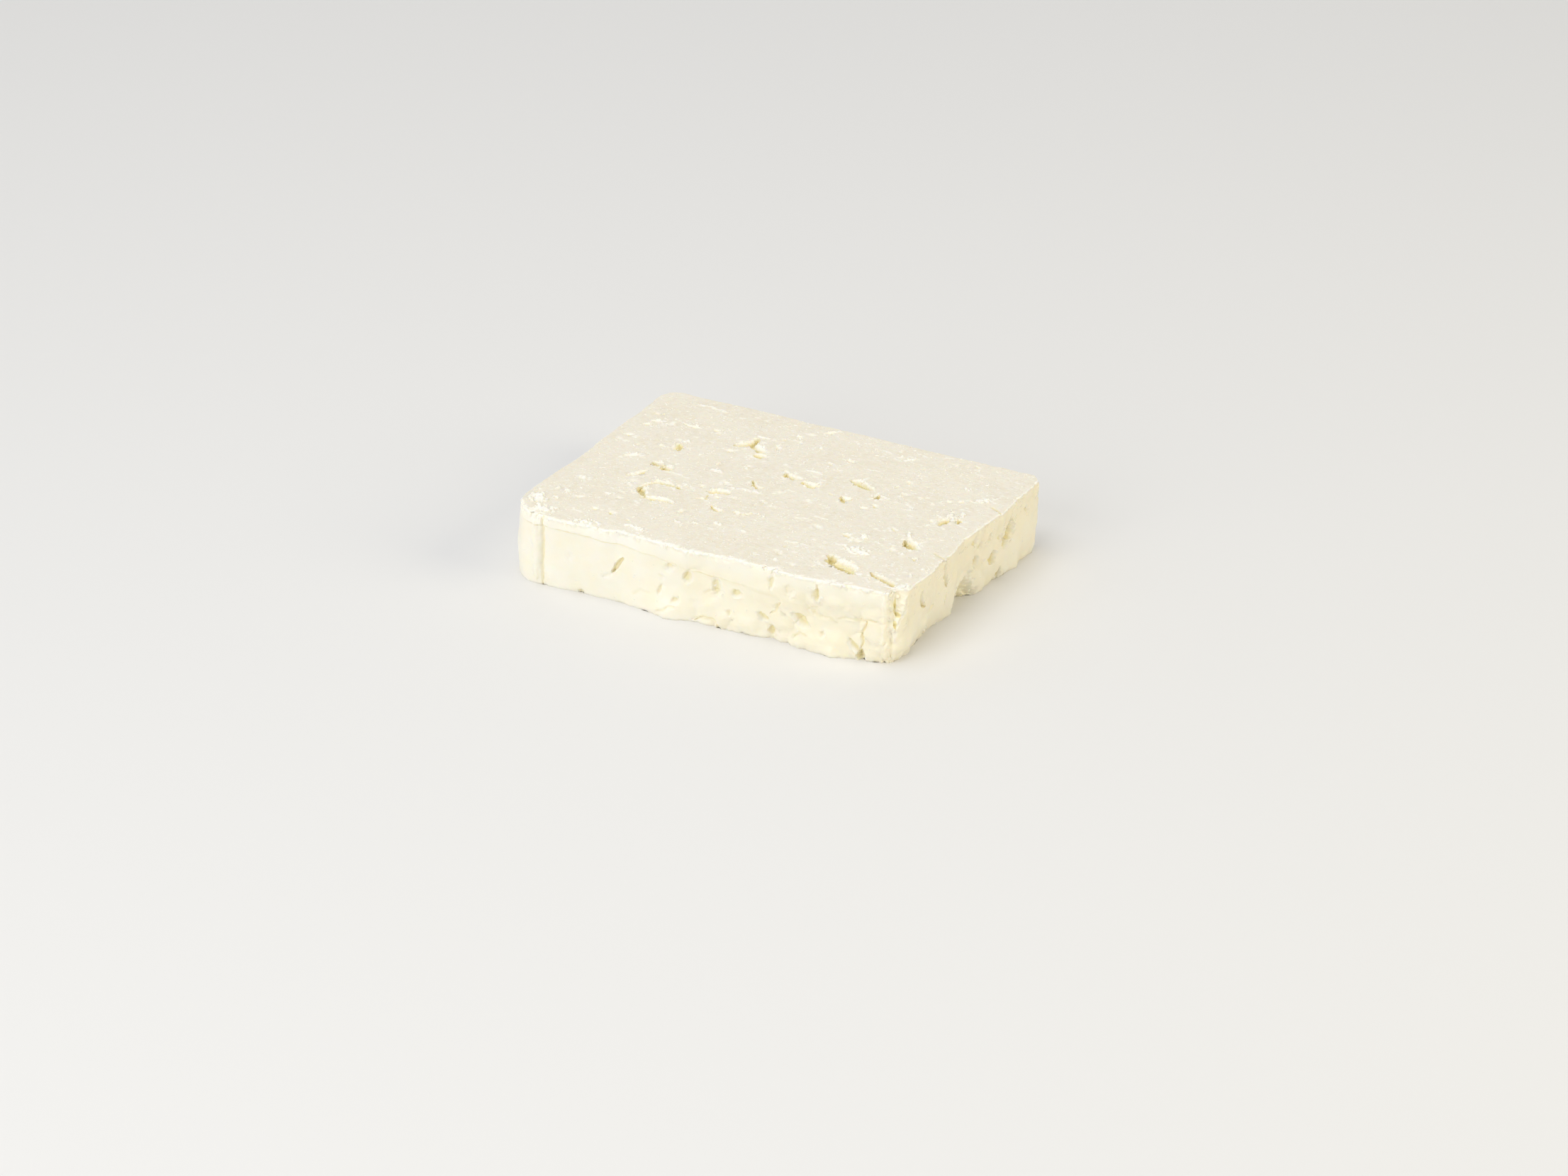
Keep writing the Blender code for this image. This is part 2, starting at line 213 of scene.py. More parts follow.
@dataclass(frozen=True)
class Hollow:
    """The section of a torn hollow: a steep wall on its near side, a long slope on the other.

    Attributes:
        depth: its depth.
        wide: half its width.
        shade_weight: how strongly its deepest part shows painted ochre shade, from 0 to 1.
    """

    depth: float
    wide: float
    shade_weight: float = 1.0

    # Its walls, and the grains of its floor
    STEEP_WALL = 0.10
    GENTLE_WALL = 1.35
    WALL_CURVE = 0.85
    TERRACE = 0.16
    # The raised lip round it, with stray grains beside it
    LIP = 0.2
    LIP_OUTSIDE = (-0.3, -0.05)
    LIP_INSIDE = (0.1, -0.02)
    NEAR_LIP = 0.4
    LIP_CHIPS = 0.8
    STRAY = 0.78
    STRAY_BAND = (-1.1, 0.05)
    STRAY_HEIGHT = 0.13
    STRAY_WHITE = 0.85
    # Painted ochre shade where it is deep, or hidden behind its near rim
    SHADE_DEPTH = (0.34, 1.35)
    DEEP_SHADE = 0.6
    NEAR_RIM = 0.15
    RIM_HIDDEN = (0.30, 0.66)
    RIM_DEPTH = (0.12, 0.7)
    RIM_SHADE = 0.8
    # White torn curd, with painted highlight: whiter towards the far wall, which faces the light
    TORN = (-0.12, 0.08)
    NEAR_WHITE = 0.2
    SHALLOW_WHITE = 0.45

    def carve(
        self, relief: Relief, near: Array, inside: Array, across: Array, grit: Grit, share: Array
    ) -> None:
        """Carves it into a side's relief.

        Args:
            relief: the side's relief, which is changed.
            near: True for each point that may lie on it.
            inside: how far inside its rim each of those is.
            across: places across it, from -1 at the near rim to 1 at the far one.
            grit: the side's noise.
            share: how much of the depth there is at each, from 0 to 1.
        """
        chips = grit.chips[near]
        far = np.clip(0.5 + 0.5 * across, 0.0, 1.0)
        wall = self.STEEP_WALL / grit.crisp + self.GENTLE_WALL * far**1.5
        depth = self.depth * share * np.clip(inside / wall, 0.0, 1.0) ** self.WALL_CURVE
        depth *= 1.0 - self.TERRACE * far * np.clip(chips, 0.0, 1.0)
        stray = (chips > self.STRAY) & (inside > self.STRAY_BAND[0]) & (inside < self.STRAY_BAND[1])
        lip = self.LIP * smooth_step(*self.LIP_OUTSIDE, inside)
        lip *= smooth_step(*self.LIP_INSIDE, inside)
        lip = grit.crisp * lip * at_least(self.NEAR_LIP, far) * (1.0 + self.LIP_CHIPS * chips)
        lip += self.STRAY_HEIGHT * stray
        relief.sink[near] = np.maximum(relief.sink[near], depth) - lip
        # Painted shade: ochre where the hollow is deep, darkest in a line where its floor is hidden
        # behind the near rim
        shade = self.DEEP_SHADE * smooth_step(*self.SHADE_DEPTH, depth)
        buried = depth / (self.wide * (1.0 + np.clip(across, -1.0, 2.0)) + self.NEAR_RIM)
        rim = smooth_step(*self.RIM_HIDDEN, buried) * smooth_step(*self.RIM_DEPTH, depth)
        shade = self.shade_weight * np.maximum(shade, self.RIM_SHADE * rim)
        relief.ochre_shade[near] = np.maximum(relief.ochre_shade[near], shade)
        # Painted highlight: the white grows towards the far wall, which faces the light
        torn = smooth_step(*self.TORN, inside) * at_least(self.NEAR_WHITE, far)
        torn *= min(1.0, self.SHALLOW_WHITE + self.depth)
        torn = np.maximum(torn, self.STRAY_WHITE * stray)
        relief.white_and_highlight[near] = np.maximum(relief.white_and_highlight[near], torn)


@dataclass(frozen=True)
class Tear:
    """A ragged oval hollow, a lump or a flake.

    Attributes:
        u: place along the side's first direction.
        v: place along its second direction.
        long: half its length.
        wide: half its width.
        turn: angle of its length from the first direction, in degrees. The steep wall
            is at its right hand.
        depth: its depth, or with a minus sign the height of a lump.
        ramp: how much deeper its far end is than its near end, from -1 to 1.
        shade_weight: how strongly its deepest part shows painted ochre shade, from 0 to 1.
    """

    u: float
    v: float
    long: float
    wide: float
    turn: float
    depth: float
    ramp: float = 0.0
    shade_weight: float = 1.0

    RAG = 0.36
    CHIP = 0.17
    RIM = 1.12
    REACH = 1.9
    POINTED = 1.5
    LUMP_RAG = 0.15
    LUMP_SLOPE = (0.0, 0.8)
    # A lump lower than this is a thin flake
    FLAKE = 0.45
    FLAKE_INSET = 0.25
    FLAKE_RAG = 0.4
    FLAKE_CHIP = 0.55
    FLAKE_SLOPE = (0.0, 0.2)
    FLAKE_RISE = 1.5
    FLAKE_LEVEL = 0.7
    FLAKE_UNEVEN = 0.5
    FLAKE_WHITE = (-0.04, 0.12)

    def local(self, u: Array, v: Array) -> tuple[Array, Array]:
        """Places along and across the tear, both 1 at its rim.

        Args:
            u: places along the side's first direction.
            v: places along its second direction.

        Returns:
            The places along its length and across it.
        """
        cosine = math.cos(math.radians(self.turn))
        sine = math.sin(math.radians(self.turn))
        along = ((u - self.u) * cosine + (v - self.v) * sine) / self.long
        across = ((v - self.v) * cosine - (u - self.u) * sine) / self.wide
        return along, across

    def press(self, relief: Relief, u: Array, v: Array, grit: Grit) -> None:
        """Presses the tear into a side's relief.

        Args:
            relief: the side's relief, which is changed.
            u: places of its points along the first direction.
            v: their places along the second direction.
            grit: noise that makes the rim ragged.
        """
        reach = self.REACH * max(self.long, self.wide)
        near = (np.abs(u - self.u) < reach) & (np.abs(v - self.v) < reach)
        along, across = self.local(u[near], v[near])
        soft, chips = grit.soft[near], grit.chips[near]
        if self.depth < 0.0:
            self.raise_lump(relief, near, 1.0 - np.hypot(along, across), soft, chips)
            return
        away = np.abs(along) ** self.POINTED + np.abs(across) ** self.POINTED
        away = away ** (1.0 / self.POINTED)
        inside = self.RIM - away + self.RAG * soft + self.CHIP * chips
        share = (1.0 + self.ramp * np.clip(along, -1.0, 1.0)) / (1.0 + abs(self.ramp))
        Hollow(self.depth, self.wide, self.shade_weight).carve(relief, near, inside, across, grit, share)

    def raise_lump(
        self, relief: Relief, near: Array, inside: Array, soft: Array, chips: Array
    ) -> None:
        """Raises a lump, or a thin ragged flake where its height is small.

        Args:
            relief: the side's relief, which is changed.
            near: True for each point that may lie on it.
            inside: how far inside its rim each of those is.
            soft: soft noise at those.
            chips: the grain's value at those.
        """
        if self.depth < -self.FLAKE:
            inside = inside + self.LUMP_RAG * soft
            relief.sink[near] += self.depth * smooth_step(*self.LUMP_SLOPE, inside)
            return
        ragged = inside - self.FLAKE_INSET + self.FLAKE_RAG * soft + self.FLAKE_CHIP * chips
        rise = self.FLAKE_RISE * self.depth * smooth_step(*self.FLAKE_SLOPE, ragged)
        relief.sink[near] += rise * (self.FLAKE_LEVEL + self.FLAKE_UNEVEN * chips)
        relief.white_and_highlight[near] = np.maximum(relief.white_and_highlight[near], smooth_step(*self.FLAKE_WHITE, ragged))


def nearest_on_line(line: Array, here: Array) -> tuple[Array, Array, Array]:
    """Measures points against a line of straight pieces.

    Args:
        line: the line's points, one row each.
        here: the points to measure, one row each.

    Returns:
        How far each is from the line, with a minus sign at its right hand, where
        along the line it is from 0 to 1, and how near the line's middle from 0 to 1.
    """
    lengths = np.linalg.norm(np.diff(line, axis=0), axis=1)
    best = np.full(len(here), FAR_AWAY)
    signed = np.zeros(len(here))
    reached = np.zeros(len(here))
    start_at = 0.0
    for start, end, length in zip(line[:-1], line[1:], lengths):
        way = (end - start) / length
        share = np.clip((here - start) @ way / length, 0.0, 1.0)
        off = here - (start + share[:, None] * (end - start))
        away = np.linalg.norm(off, axis=1)
        closer = away < best
        side = np.where(way[0] * off[:, 1] - way[1] * off[:, 0] < 0.0, -1.0, 1.0)
        best = np.where(closer, away, best)
        signed = np.where(closer, side * away, signed)
        reached = np.where(closer, start_at + share * length, reached)
        start_at += length
    place = reached / lengths.sum()
    return signed, place, 1.0 - np.abs(2.0 * place - 1.0)


@dataclass(frozen=True)
class Crease:
    """A thin crack along a few points, or a gash, tapered at both ends.

    Attributes:
        points: the points, by the side's two directions.
        wide: half its width.
        depth: its depth, or with a minus sign the height of a thin ridge.
        gash: whether it is a torn gash with a steep wall at its right hand.
        shade_weight: how strongly its deepest part shows painted ochre shade, from 0 to 1.
    """

    points: Line
    wide: float
    depth: float
    gash: bool = False
    shade_weight: float = 1.0

    RAG = 0.3
    CHIP = 0.2
    GASH_CHIP = 0.19
    RIM = 1.05
    REACH = 2.4
    TAPER = 3
    TIP = 0.02
    SLOPE = (0.0, 0.8)
    SHADE_SLOPE = (0.1, 0.9)
    SHADE_GAIN = 1.1
    # A ridge narrower than this is a broken white streak
    BROAD = 0.8
    STREAK_RAG = 1.1
    STREAK_CHIP = 0.5
    STREAK_MOST = 1.3
    STREAK_WHITE = 0.9
    STREAK_SLOPE = (-0.05, 0.3)

    def press(self, relief: Relief, u: Array, v: Array, grit: Grit) -> None:
        """Presses the crease into a side's relief.

        Args:
            relief: the side's relief, which is changed.
            u: places of its points along the first direction.
            v: their places along the second direction.
            grit: noise that makes it ragged.
        """
        line = np.array(self.points)
        reach = self.REACH * self.wide
        near = (u > line[:, 0].min() - reach) & (u < line[:, 0].max() + reach)
        near &= (v > line[:, 1].min() - reach) & (v < line[:, 1].max() + reach)
        if not near.any():
            return
        signed, _, middle = nearest_on_line(line, np.stack([u[near], v[near]], axis=1))
        soft, chips = grit.soft[near], grit.chips[near]
        width = self.wide * np.sqrt(np.clip(1.0 - (1.0 - middle) ** self.TAPER, self.TIP, 1.0))
        inside = self.RIM - np.abs(signed) / width + self.RAG * soft
        if self.gash:
            inside += self.GASH_CHIP * chips
            hollow = Hollow(self.depth, self.wide, self.shade_weight)
            hollow.carve(relief, near, inside, signed / width, grit, np.ones(len(chips)))
            return
        inside += self.CHIP * chips
        if self.depth < 0.0 and self.wide < self.BROAD:
            broken = 1.0 + self.STREAK_RAG * soft + self.STREAK_CHIP * chips
            inside *= np.clip(broken, 0.0, self.STREAK_MOST)
            white = self.STREAK_WHITE * smooth_step(*self.STREAK_SLOPE, inside)
            relief.white_and_highlight[near] = np.maximum(relief.white_and_highlight[near], white)
        relief.sink[near] += self.depth * smooth_step(*self.SLOPE, inside)
        # Painted shade: ochre in the crease, stronger where it is deeper
        if self.depth > 0.0:
            shade = self.shade_weight * min(1.0, self.SHADE_GAIN * self.depth)
            shade = shade * smooth_step(*self.SHADE_SLOPE, inside)
            relief.ochre_shade[near] = np.maximum(relief.ochre_shade[near], shade)


@dataclass
class MarkedSide:
    """A side of the block with the marks that show on it.

    Attributes:
        side: which side it is.
        tears: its tears, pits and lumps.
        creases: its cracks, gashes and thin ridges.
        bend: how far a mark's outline is bent out of its plain form.
        crisp: how crisp the rims of its marks are, from above 0 to 1.
        grain: size of the grains that rims break along.
    """

    side: Side
    tears: tuple[Tear, ...]
    creases: tuple[Crease, ...]
    bend: float = 0.45
    crisp: float = 1.0
    grain: float = 0.75

    RAG = (Waves(1.9, 11.0), Waves(0.6, 5.0, 0.35))
    SOFTEST_RAG = 0.35
    BEND_FIRST = Waves(2.6, 23.0)
    BEND_SECOND = Waves(2.6, 29.0)
    GRAIN_SHIFT = 3.0
    FLOOR_ROUGH = 0.10
    FLOOR_CHIPS = 0.06
    LEAST_FLAKE = 0.6
    CREASE_MARGIN = 0.15

    def relief(self, points: Array) -> Relief:
        """The relief of all its marks.

        Args:
            points: points on or near the side, one row each.

        Returns:
            Their relief.
        """
        result = Relief.flat(len(points))
        u, v = self.side.flatten(points)
        u = u + self.bend * self.BEND_FIRST.at(points)
        v = v + self.bend * self.BEND_SECOND.at(points)
        soft = waves_at(self.RAG, points)
        chips = self.crisp * chips_at(points, self.grain, self.GRAIN_SHIFT)
        grit = Grit(soft * min(1.0, self.SOFTEST_RAG + self.crisp), chips, self.crisp)
        for tear in self.tears:
            tear.press(result, u, v, grit)
        for crease in self.creases:
            crease.press(result, u, v, grit)
        hollow = np.clip(result.sink, 0.0, 1.0)
        result.sink += hollow * (self.FLOOR_ROUGH * soft + self.FLOOR_CHIPS * grit.chips)
        return result

    def near_marks(self, points: Array, margin: float, least: float) -> Array:
        """Which points lie on a mark or just outside it.

        Args:
            points: points on or near the side, one row each.
            margin: how far outside a mark still counts, as a share of its size.
            least: marks shallower than this don't count.

        Returns:
            True for each point near a mark.
        """
        u, v = self.side.flatten(points)
        found = np.zeros(len(points), bool)
        for tear in self.tears:
            if tear.depth > least or -tear.FLAKE < tear.depth < -self.LEAST_FLAKE * least:
                along, across = tear.local(u, v)
                found |= np.hypot(along, across) < margin
        for crease in self.creases:
            if abs(crease.depth) < least:
                continue
            signed, _, _ = nearest_on_line(np.array(crease.points), np.stack([u, v], axis=1))
            found |= np.abs(signed) < margin * crease.wide + self.CREASE_MARGIN
        return found


# Where small marks of the cut face lie, and which way they run, in degrees
CUT_X = (-53.0, 53.0)
CUT_Y = (-38.0, 37.0)
CUT_ANGLE = -8.0


def small_tears(count: int, seed: int) -> tuple[Tear, ...]:
    """Small tears scattered over the cut face, mostly along the cut.

    Args:
        count: how many there are.
        seed: number that fixes the draw.

    Returns:
        The tears.
    """
    draw = random.Random(seed)
    found = []
    for _ in range(count):
        long = draw.uniform(0.45, 1.5)
        place = draw.uniform(*CUT_X), draw.uniform(*CUT_Y)
        wide = long * draw.uniform(0.35, 0.6)
        turn = draw.gauss(CUT_ANGLE, 22.0)
        found.append(Tear(*place, long, wide, turn, draw.uniform(0.12, 0.42)))
    return tuple(found)


def small_ridges(count: int, seed: int) -> tuple[Crease, ...]:
    """Thin raised streaks of smeared curd on the cut face.

    Args:
        count: how many there are.
        seed: number that fixes the draw.

    Returns:
        The ridges.
    """
    draw = random.Random(seed)
    found = []
    for _ in range(count):
        u = draw.uniform(*CUT_X)
        v = draw.uniform(*CUT_Y)
        reach = draw.uniform(1.0, 4.5)
        angle = math.radians(draw.gauss(CUT_ANGLE, 14.0))
        bend = draw.uniform(-0.3, 0.3)
        middle = (u + 0.5 * reach * math.cos(angle), v + 0.5 * reach * math.sin(angle) + bend)
        end = (u + reach * math.cos(angle), v + reach * math.sin(angle))
        wide = draw.uniform(0.16, 0.34)
        found.append(Crease(((u, v), middle, end), wide, -draw.uniform(0.05, 0.14)))
    return tuple(found)


TOP_TEARS = (
    Tear(-49.1, 19.4, 1.4, 0.8, 8, 0.9),
    Tear(-34.8, 10.6, 2.4, 1.3, 125, 1.5, -0.3),
    Tear(-13.0, 15.7, 2.0, 1.1, -15, 1.3),
    Tear(-22.9, -10.9, 1.4, 0.9, -40, 0.9),
    Tear(-13.2, 8.0, 1.1, 0.6, 40, 0.6),
    Tear(-20.6, 6.2, 0.8, 0.5, 30, 0.6),
    Tear(-43.2, 0.6, 2.0, 0.8, 38, 0.4),
    Tear(-49.9, 11.5, 1.2, 0.7, 15, 0.5),
    Tear(-38.9, 9.2, 1.3, 0.7, -10, 0.5),
    Tear(-3.2, 36.7, 1.4, 0.8, 40, 0.8),
    Tear(25.1, 7.2, 1.5, 0.9, 100, 1.9),
    Tear(27.1, 15.0, 0.8, 0.5, 30, 0.6),
    Tear(46.6, 2.1, 1.9, 1.1, 75, 1.6),
    Tear(50.2, 4.1, 1.2, 0.8, -60, 0.9),
    Tear(45.8, 14.2, 1.1, 0.6, 60, 0.6),
    Tear(45.4, -13.8, 3.0, 1.7, -42, 1.3),
    Tear(28.3, -16.4, 1.5, 0.9, -20, 0.9),
    Tear(31.4, -29.8, 2.0, 1.4, -50, 1.9),
    Tear(9.7, 23.2, 1.2, 0.6, -10, 0.6),
    Tear(5.3, 19.8, 0.9, 0.5, -10, 0.4),
    Tear(24.9, -0.1, 0.9, 0.5, 0, 0.4),
    Tear(27.2, 2.0, 1.1, 0.5, -35, 0.5),
    Tear(-30.7, -32.8, 1.2, 0.6, -45, 0.6),
    Tear(-24.9, -34.2, 0.7, 0.4, -30, 0.5),
    Tear(-35.8, -31.7, 0.8, 0.4, 0, 0.4),
    Tear(49.7, -20.9, 0.8, 0.5, 10, 0.5),
    Tear(35.2, 33.6, 0.9, 0.5, 0, 0.4),
    Tear(-53.4, -38.2, 6.0, 4.2, -48, -0.5),
    Tear(-34.3, 14.2, 1.7, 0.8, 65, -0.3),
    Tear(-22.1, -9.4, 1.2, 0.7, 30, -0.3),
    Tear(-47.0, 22.6, 2.1, 0.8, 25, -0.28),
    Tear(3.7, -16.6, 2.7, 0.8, -15, -0.3),
    Tear(-18.8, 2.3, 2.1, 0.9, -16, -0.2),
    Tear(-3.9, -25.6, 1.6, 0.8, -25, -0.25),
    Tear(-13.6, -29.5, 1.6, 0.7, -5, -0.25),
    Tear(-9.0, -27.9, 1.6, 0.7, 20, -0.25),
    Tear(49.4, 7.6, 1.2, 0.7, -60, -0.3),
    Tear(47.4, 5.3, 1.6, 0.8, -15, -0.3),
    Tear(44.2, -1.6, 1.7, 0.6, 20, -0.25),
    Tear(8.0, 8.2, 1.5, 1.0, 40, -0.28),
    Tear(33.0, -15.8, 0.9, 0.7, 60, -0.4),
    Tear(30.7, -19.1, 1.1, 0.8, -65, -0.4),
    Tear(34.8, -23.4, 4.0, 2.2, -12, -0.24),
    Tear(45.4, -20.0, 2.3, 1.1, -25, -0.22),
    Tear(50.8, 17.2, 1.7, 0.9, 40, -0.28),
    Tear(42.4, -9.4, 0.9, 0.6, -45, -0.35),
    Tear(23.2, 31.3, 1.7, 0.8, 35, -0.28),
    Tear(44.1, 21.7, 1.1, 0.6, -20, -0.28),
    Tear(48.6, 29.3, 0.6, 0.4, -5, -0.3),
    Tear(53.1, -29.7, 0.7, 0.6, 0, -0.4),
    Tear(54.0, -25.2, 1.0, 0.5, 15, -0.28),
    Tear(-1.1, 26.9, 1.0, 0.6, -18, -0.25),
    Tear(-12.4, 6.9, 1.0, 0.6, -50, -0.25),
    Tear(4.3, -26.5, 1.4, 0.5, -28, -0.22),
    Tear(-47.0, -26.8, 0.8, 0.6, 0, -0.35),
    Tear(-47.8, -31.0, 1.2, 0.6, 0, -0.3),
    Tear(-50.2, -26.1, 0.8, 0.5, 30, -0.3),
    Tear(-51.6, -33.6, 4.2, 2.4, -60, -0.34),
    Tear(-47.6, -38.4, 3.6, 1.7, 20, -0.3),
    Tear(-20.8, -37.3, 3.4, 1.0, -5, -0.25),
    Tear(-36.9, -22.5, 1.6, 0.5, 8, -0.22),
    Tear(-37.8, -25.6, 0.9, 0.4, 8, -0.22),
    Tear(53.4, -36.0, 2.4, 1.7, 35, -0.38),
    Tear(41.4, -34.7, 1.3, 0.6, 20, -0.35),
    Tear(-33.8, -40.4, 3.4, 1.6, 5, -0.35),
)

TOP_CREASES = (
    Crease(((-22.0, 18.2), (-20.2, 20.0), (-18.7, 22.0), (-18.4, 25.0)), 1.34, 1.6, True),
    Crease(((-18.9, 22.0), (-16.6, 19.7), (-12.6, 18.0)), 1.34, 0.8, True),
    Crease(((-36.4, -0.3), (-34.4, -1.2), (-33.4, -1.9)), 1.34, 1.4, True),
    Crease(((-32.6, -1.5), (-31.0, -2.2), (-29.4, -2.2)), 1.46, 1.4, True),
    Crease(((-38.7, -10.7), (-36.8, -9.1), (-36.0, -7.6), (-35.2, -5.6)), 0.85, 0.9, True),
    Crease(
        (
            (-31.8, -15.3), (-31.1, -13.3), (-29.9, -11.7), (-29.0, -10.4), (-27.3, -10.3),
            (-25.4, -10.8), (-23.5, -11.4),
        ),
        0.92, 1.1, True,
    ),
    Crease(((-31.6, -15.4), (-29.6, -17.7), (-28.5, -19.7)), 1.16, 1.3, True),
    Crease(
        ((-28.6, -20.1), (-27.2, -20.2), (-25.9, -19.8), (-22.4, -19.4), (-19.5, -19.9)),
        1.04, 0.8, True,
    ),
    Crease(((-14.7, -9.7), (-12.9, -8.8), (-11.1, -8.4), (-9.2, -8.8)), 1.52, 1.7, True),
    Crease(((-7.4, 1.4), (-5.9, -1.1), (-4.4, -2.3), (-3.1, -1.3)), 0.79, 0.7, True),
    Crease(((-2.3, 9.2), (-1.2, 8.1), (0.7, 8.0), (3.0, 7.5)), 1.22, 1.1, True),
    Crease(((4.1, 6.7), (7.3, 5.6), (9.2, 6.8)), 1.34, 0.9, True),
    Crease(((-10.2, -17.0), (-7.5, -18.7), (-6.0, -17.9)), 0.61, 0.6, True),
    Crease(((-3.5, -17.4), (0.4, -17.5), (1.2, -15.9)), 0.61, 0.5, True),
    Crease(((-40.4, 24.1), (-38.7, 23.4), (-34.9, 23.8)), 0.49, 0.4, True),
    Crease(((14.7, 12.9), (16.8, 13.0), (19.4, 11.6), (22.6, 10.2)), 1.46, 1.3, True),
    Crease(((15.6, 14.2), (18.6, 13.4), (21.4, 11.7)), 0.25, -0.3),
    Crease(((16.8, 3.0), (18.5, 2.0), (20.2, 3.2)), 0.98, 1.0, True),
    Crease(((13.6, 3.4), (15.8, 3.2)), 0.35, 0.4),
    Crease(((24.9, 8.4), (26.9, 8.1), (28.7, 7.5)), 0.4, -0.32),
    Crease(((29.6, 6.5), (32.4, 6.4)), 0.25, -0.2),
    Crease(((42.6, -12.2), (44.2, -14.6), (47.2, -16.6)), 0.85, 1.6, True),
    Crease(
        ((30.0, -31.3), (32.4, -32.1), (35.3, -33.3), (38.0, -34.4), (40.4, -35.5)),
        1.22, 1.9, True,
    ),
    Crease(((32.4, -31.0), (35.5, -31.9), (39.6, -33.8)), 2.20, 1.1, True),
    Crease(((43.5, -32.8), (47.5, -34.7), (50.9, -36.0), (51.7, -37.3)), 1.10, 1.3, True),
    Crease(((-34.4, 0.6), (-33.3, -0.6), (-32.6, -1.6)), 0.4, -0.5),
    Crease(((-43.6, 25.4), (-38.0, 23.1), (-34.4, 23.5)), 0.25, -0.15),
    Crease(((-30.5, -3.7), (-22.6, -5.3)), 0.25, -0.2),
    Crease(((-42.9, 36.3), (-38.8, 36.9), (-33.2, 35.3)), 0.5, -0.25),
    Crease(((-11.2, -5.2), (-6.8, -4.5), (-1.5, -4.8)), 0.4, -0.25),
    Crease(((-13.9, -11.3), (-13.6, -13.8), (-15.9, -15.0)), 0.35, 0.4),
    Crease(((-24.5, -19.9), (-22.4, -19.4), (-19.3, -19.8)), 0.35, -0.25),
    Crease(((-19.3, 26.0), (-15.3, 25.9), (-11.1, 25.5)), 0.5, -0.28),
    Crease(((1.8, 13.2), (4.0, 13.6), (6.4, 13.3)), 0.45, -0.25),
    Crease(((11.6, -13.0), (16.5, -13.0)), 0.2, -0.14),
    Crease(((15.8, -26.9), (21.7, -26.0)), 0.3, -0.2),
    Crease(((9.3, 18.2), (9.8, 10.4), (10.8, 3.0), (11.5, -7.1)), 0.14, 0.12),
    Crease(((53.6, 15.3), (56.1, 14.4), (57.9, 12.6)), 0.45, 0.45),
    Crease(((52.3, -15.3), (55.8, -17.3), (57.9, -20.0)), 0.35, 0.35),
    Crease(((52.7, 19.2), (53.9, 21.8), (53.8, 24.1)), 0.2, -0.2),
    Crease(((43.0, -35.5), (46.0, -38.4)), 0.2, -0.14),
    Crease(((49.6, -40.2), (51.5, -38.3)), 0.2, 0.25),
    Crease(((30.8, -22.6), (35.0, -23.9), (38.7, -24.4)), 0.4, -0.25),
)

FRONT_TEARS = (
    Tear(-8.8, 13.8, 1.8, 1.2, 195, 0.6),
    Tear(-3.4, 12.6, 2.5, 1.6, -115, 0.9),
    Tear(-7.4, 4.8, 1.6, 1.0, 210, 0.6),
    Tear(4.6, 11.8, 3.0, 1.4, -80, 0.8),
    Tear(10.3, 10.7, 1.6, 1.1, 220, 0.8),
    Tear(17.3, 6.0, 1.8, 1.1, 155, 1.3),
    Tear(20.8, 17.0, 2.2, 1.0, -100, 0.6),
    Tear(25.9, 15.8, 2.0, 1.5, -90, 0.4),
    Tear(33.3, 16.4, 2.4, 0.9, -90, 0.9),
    Tear(19.9, 2.4, 1.5, 1.2, -90, 1.2),
    Tear(28.4, 7.8, 2.7, 1.6, 155, 1.5),
    Tear(43.2, 3.6, 2.8, 1.1, 130, 0.8),
    Tear(45.1, 1.2, 2.2, 1.1, -90, 2.2),
    Tear(-35.4, 0.4, 1.0, 0.8, -90, 0.6),
    Tear(-11.7, 7.1, 1.8, 0.7, -110, 0.5),
    Tear(-11.1, 10.6, 1.0, 0.8, -90, 0.35),
    Tear(8.2, 5.0, 1.0, 0.7, -80, 0.5),
    Tear(34.8, 5.5, 1.1, 0.8, -90, 0.5),
    Tear(-37.8, 10.3, 1.4, 0.9, -90, 0.2),
    Tear(49.4, 4.4, 4.4, 4.2, 0, -0.6),
    Tear(35.5, 3.0, 8.5, 4.6, 0, -0.6),
    Tear(11.5, 3.2, 5.5, 3.0, 0, -0.5),
    Tear(-9.5, 2.4, 5.0, 3.4, 0, -0.5),
    Tear(25.0, 12.0, 4.0, 2.6, 20, -0.5),
    Tear(39.0, 14.6, 4.5, 2.6, -10, -0.46),
    Tear(2.0, 6.6, 3.6, 2.4, 30, -0.5),
    Tear(-26.0, 6.9, 2.4, 0.9, 55, -0.5),
)

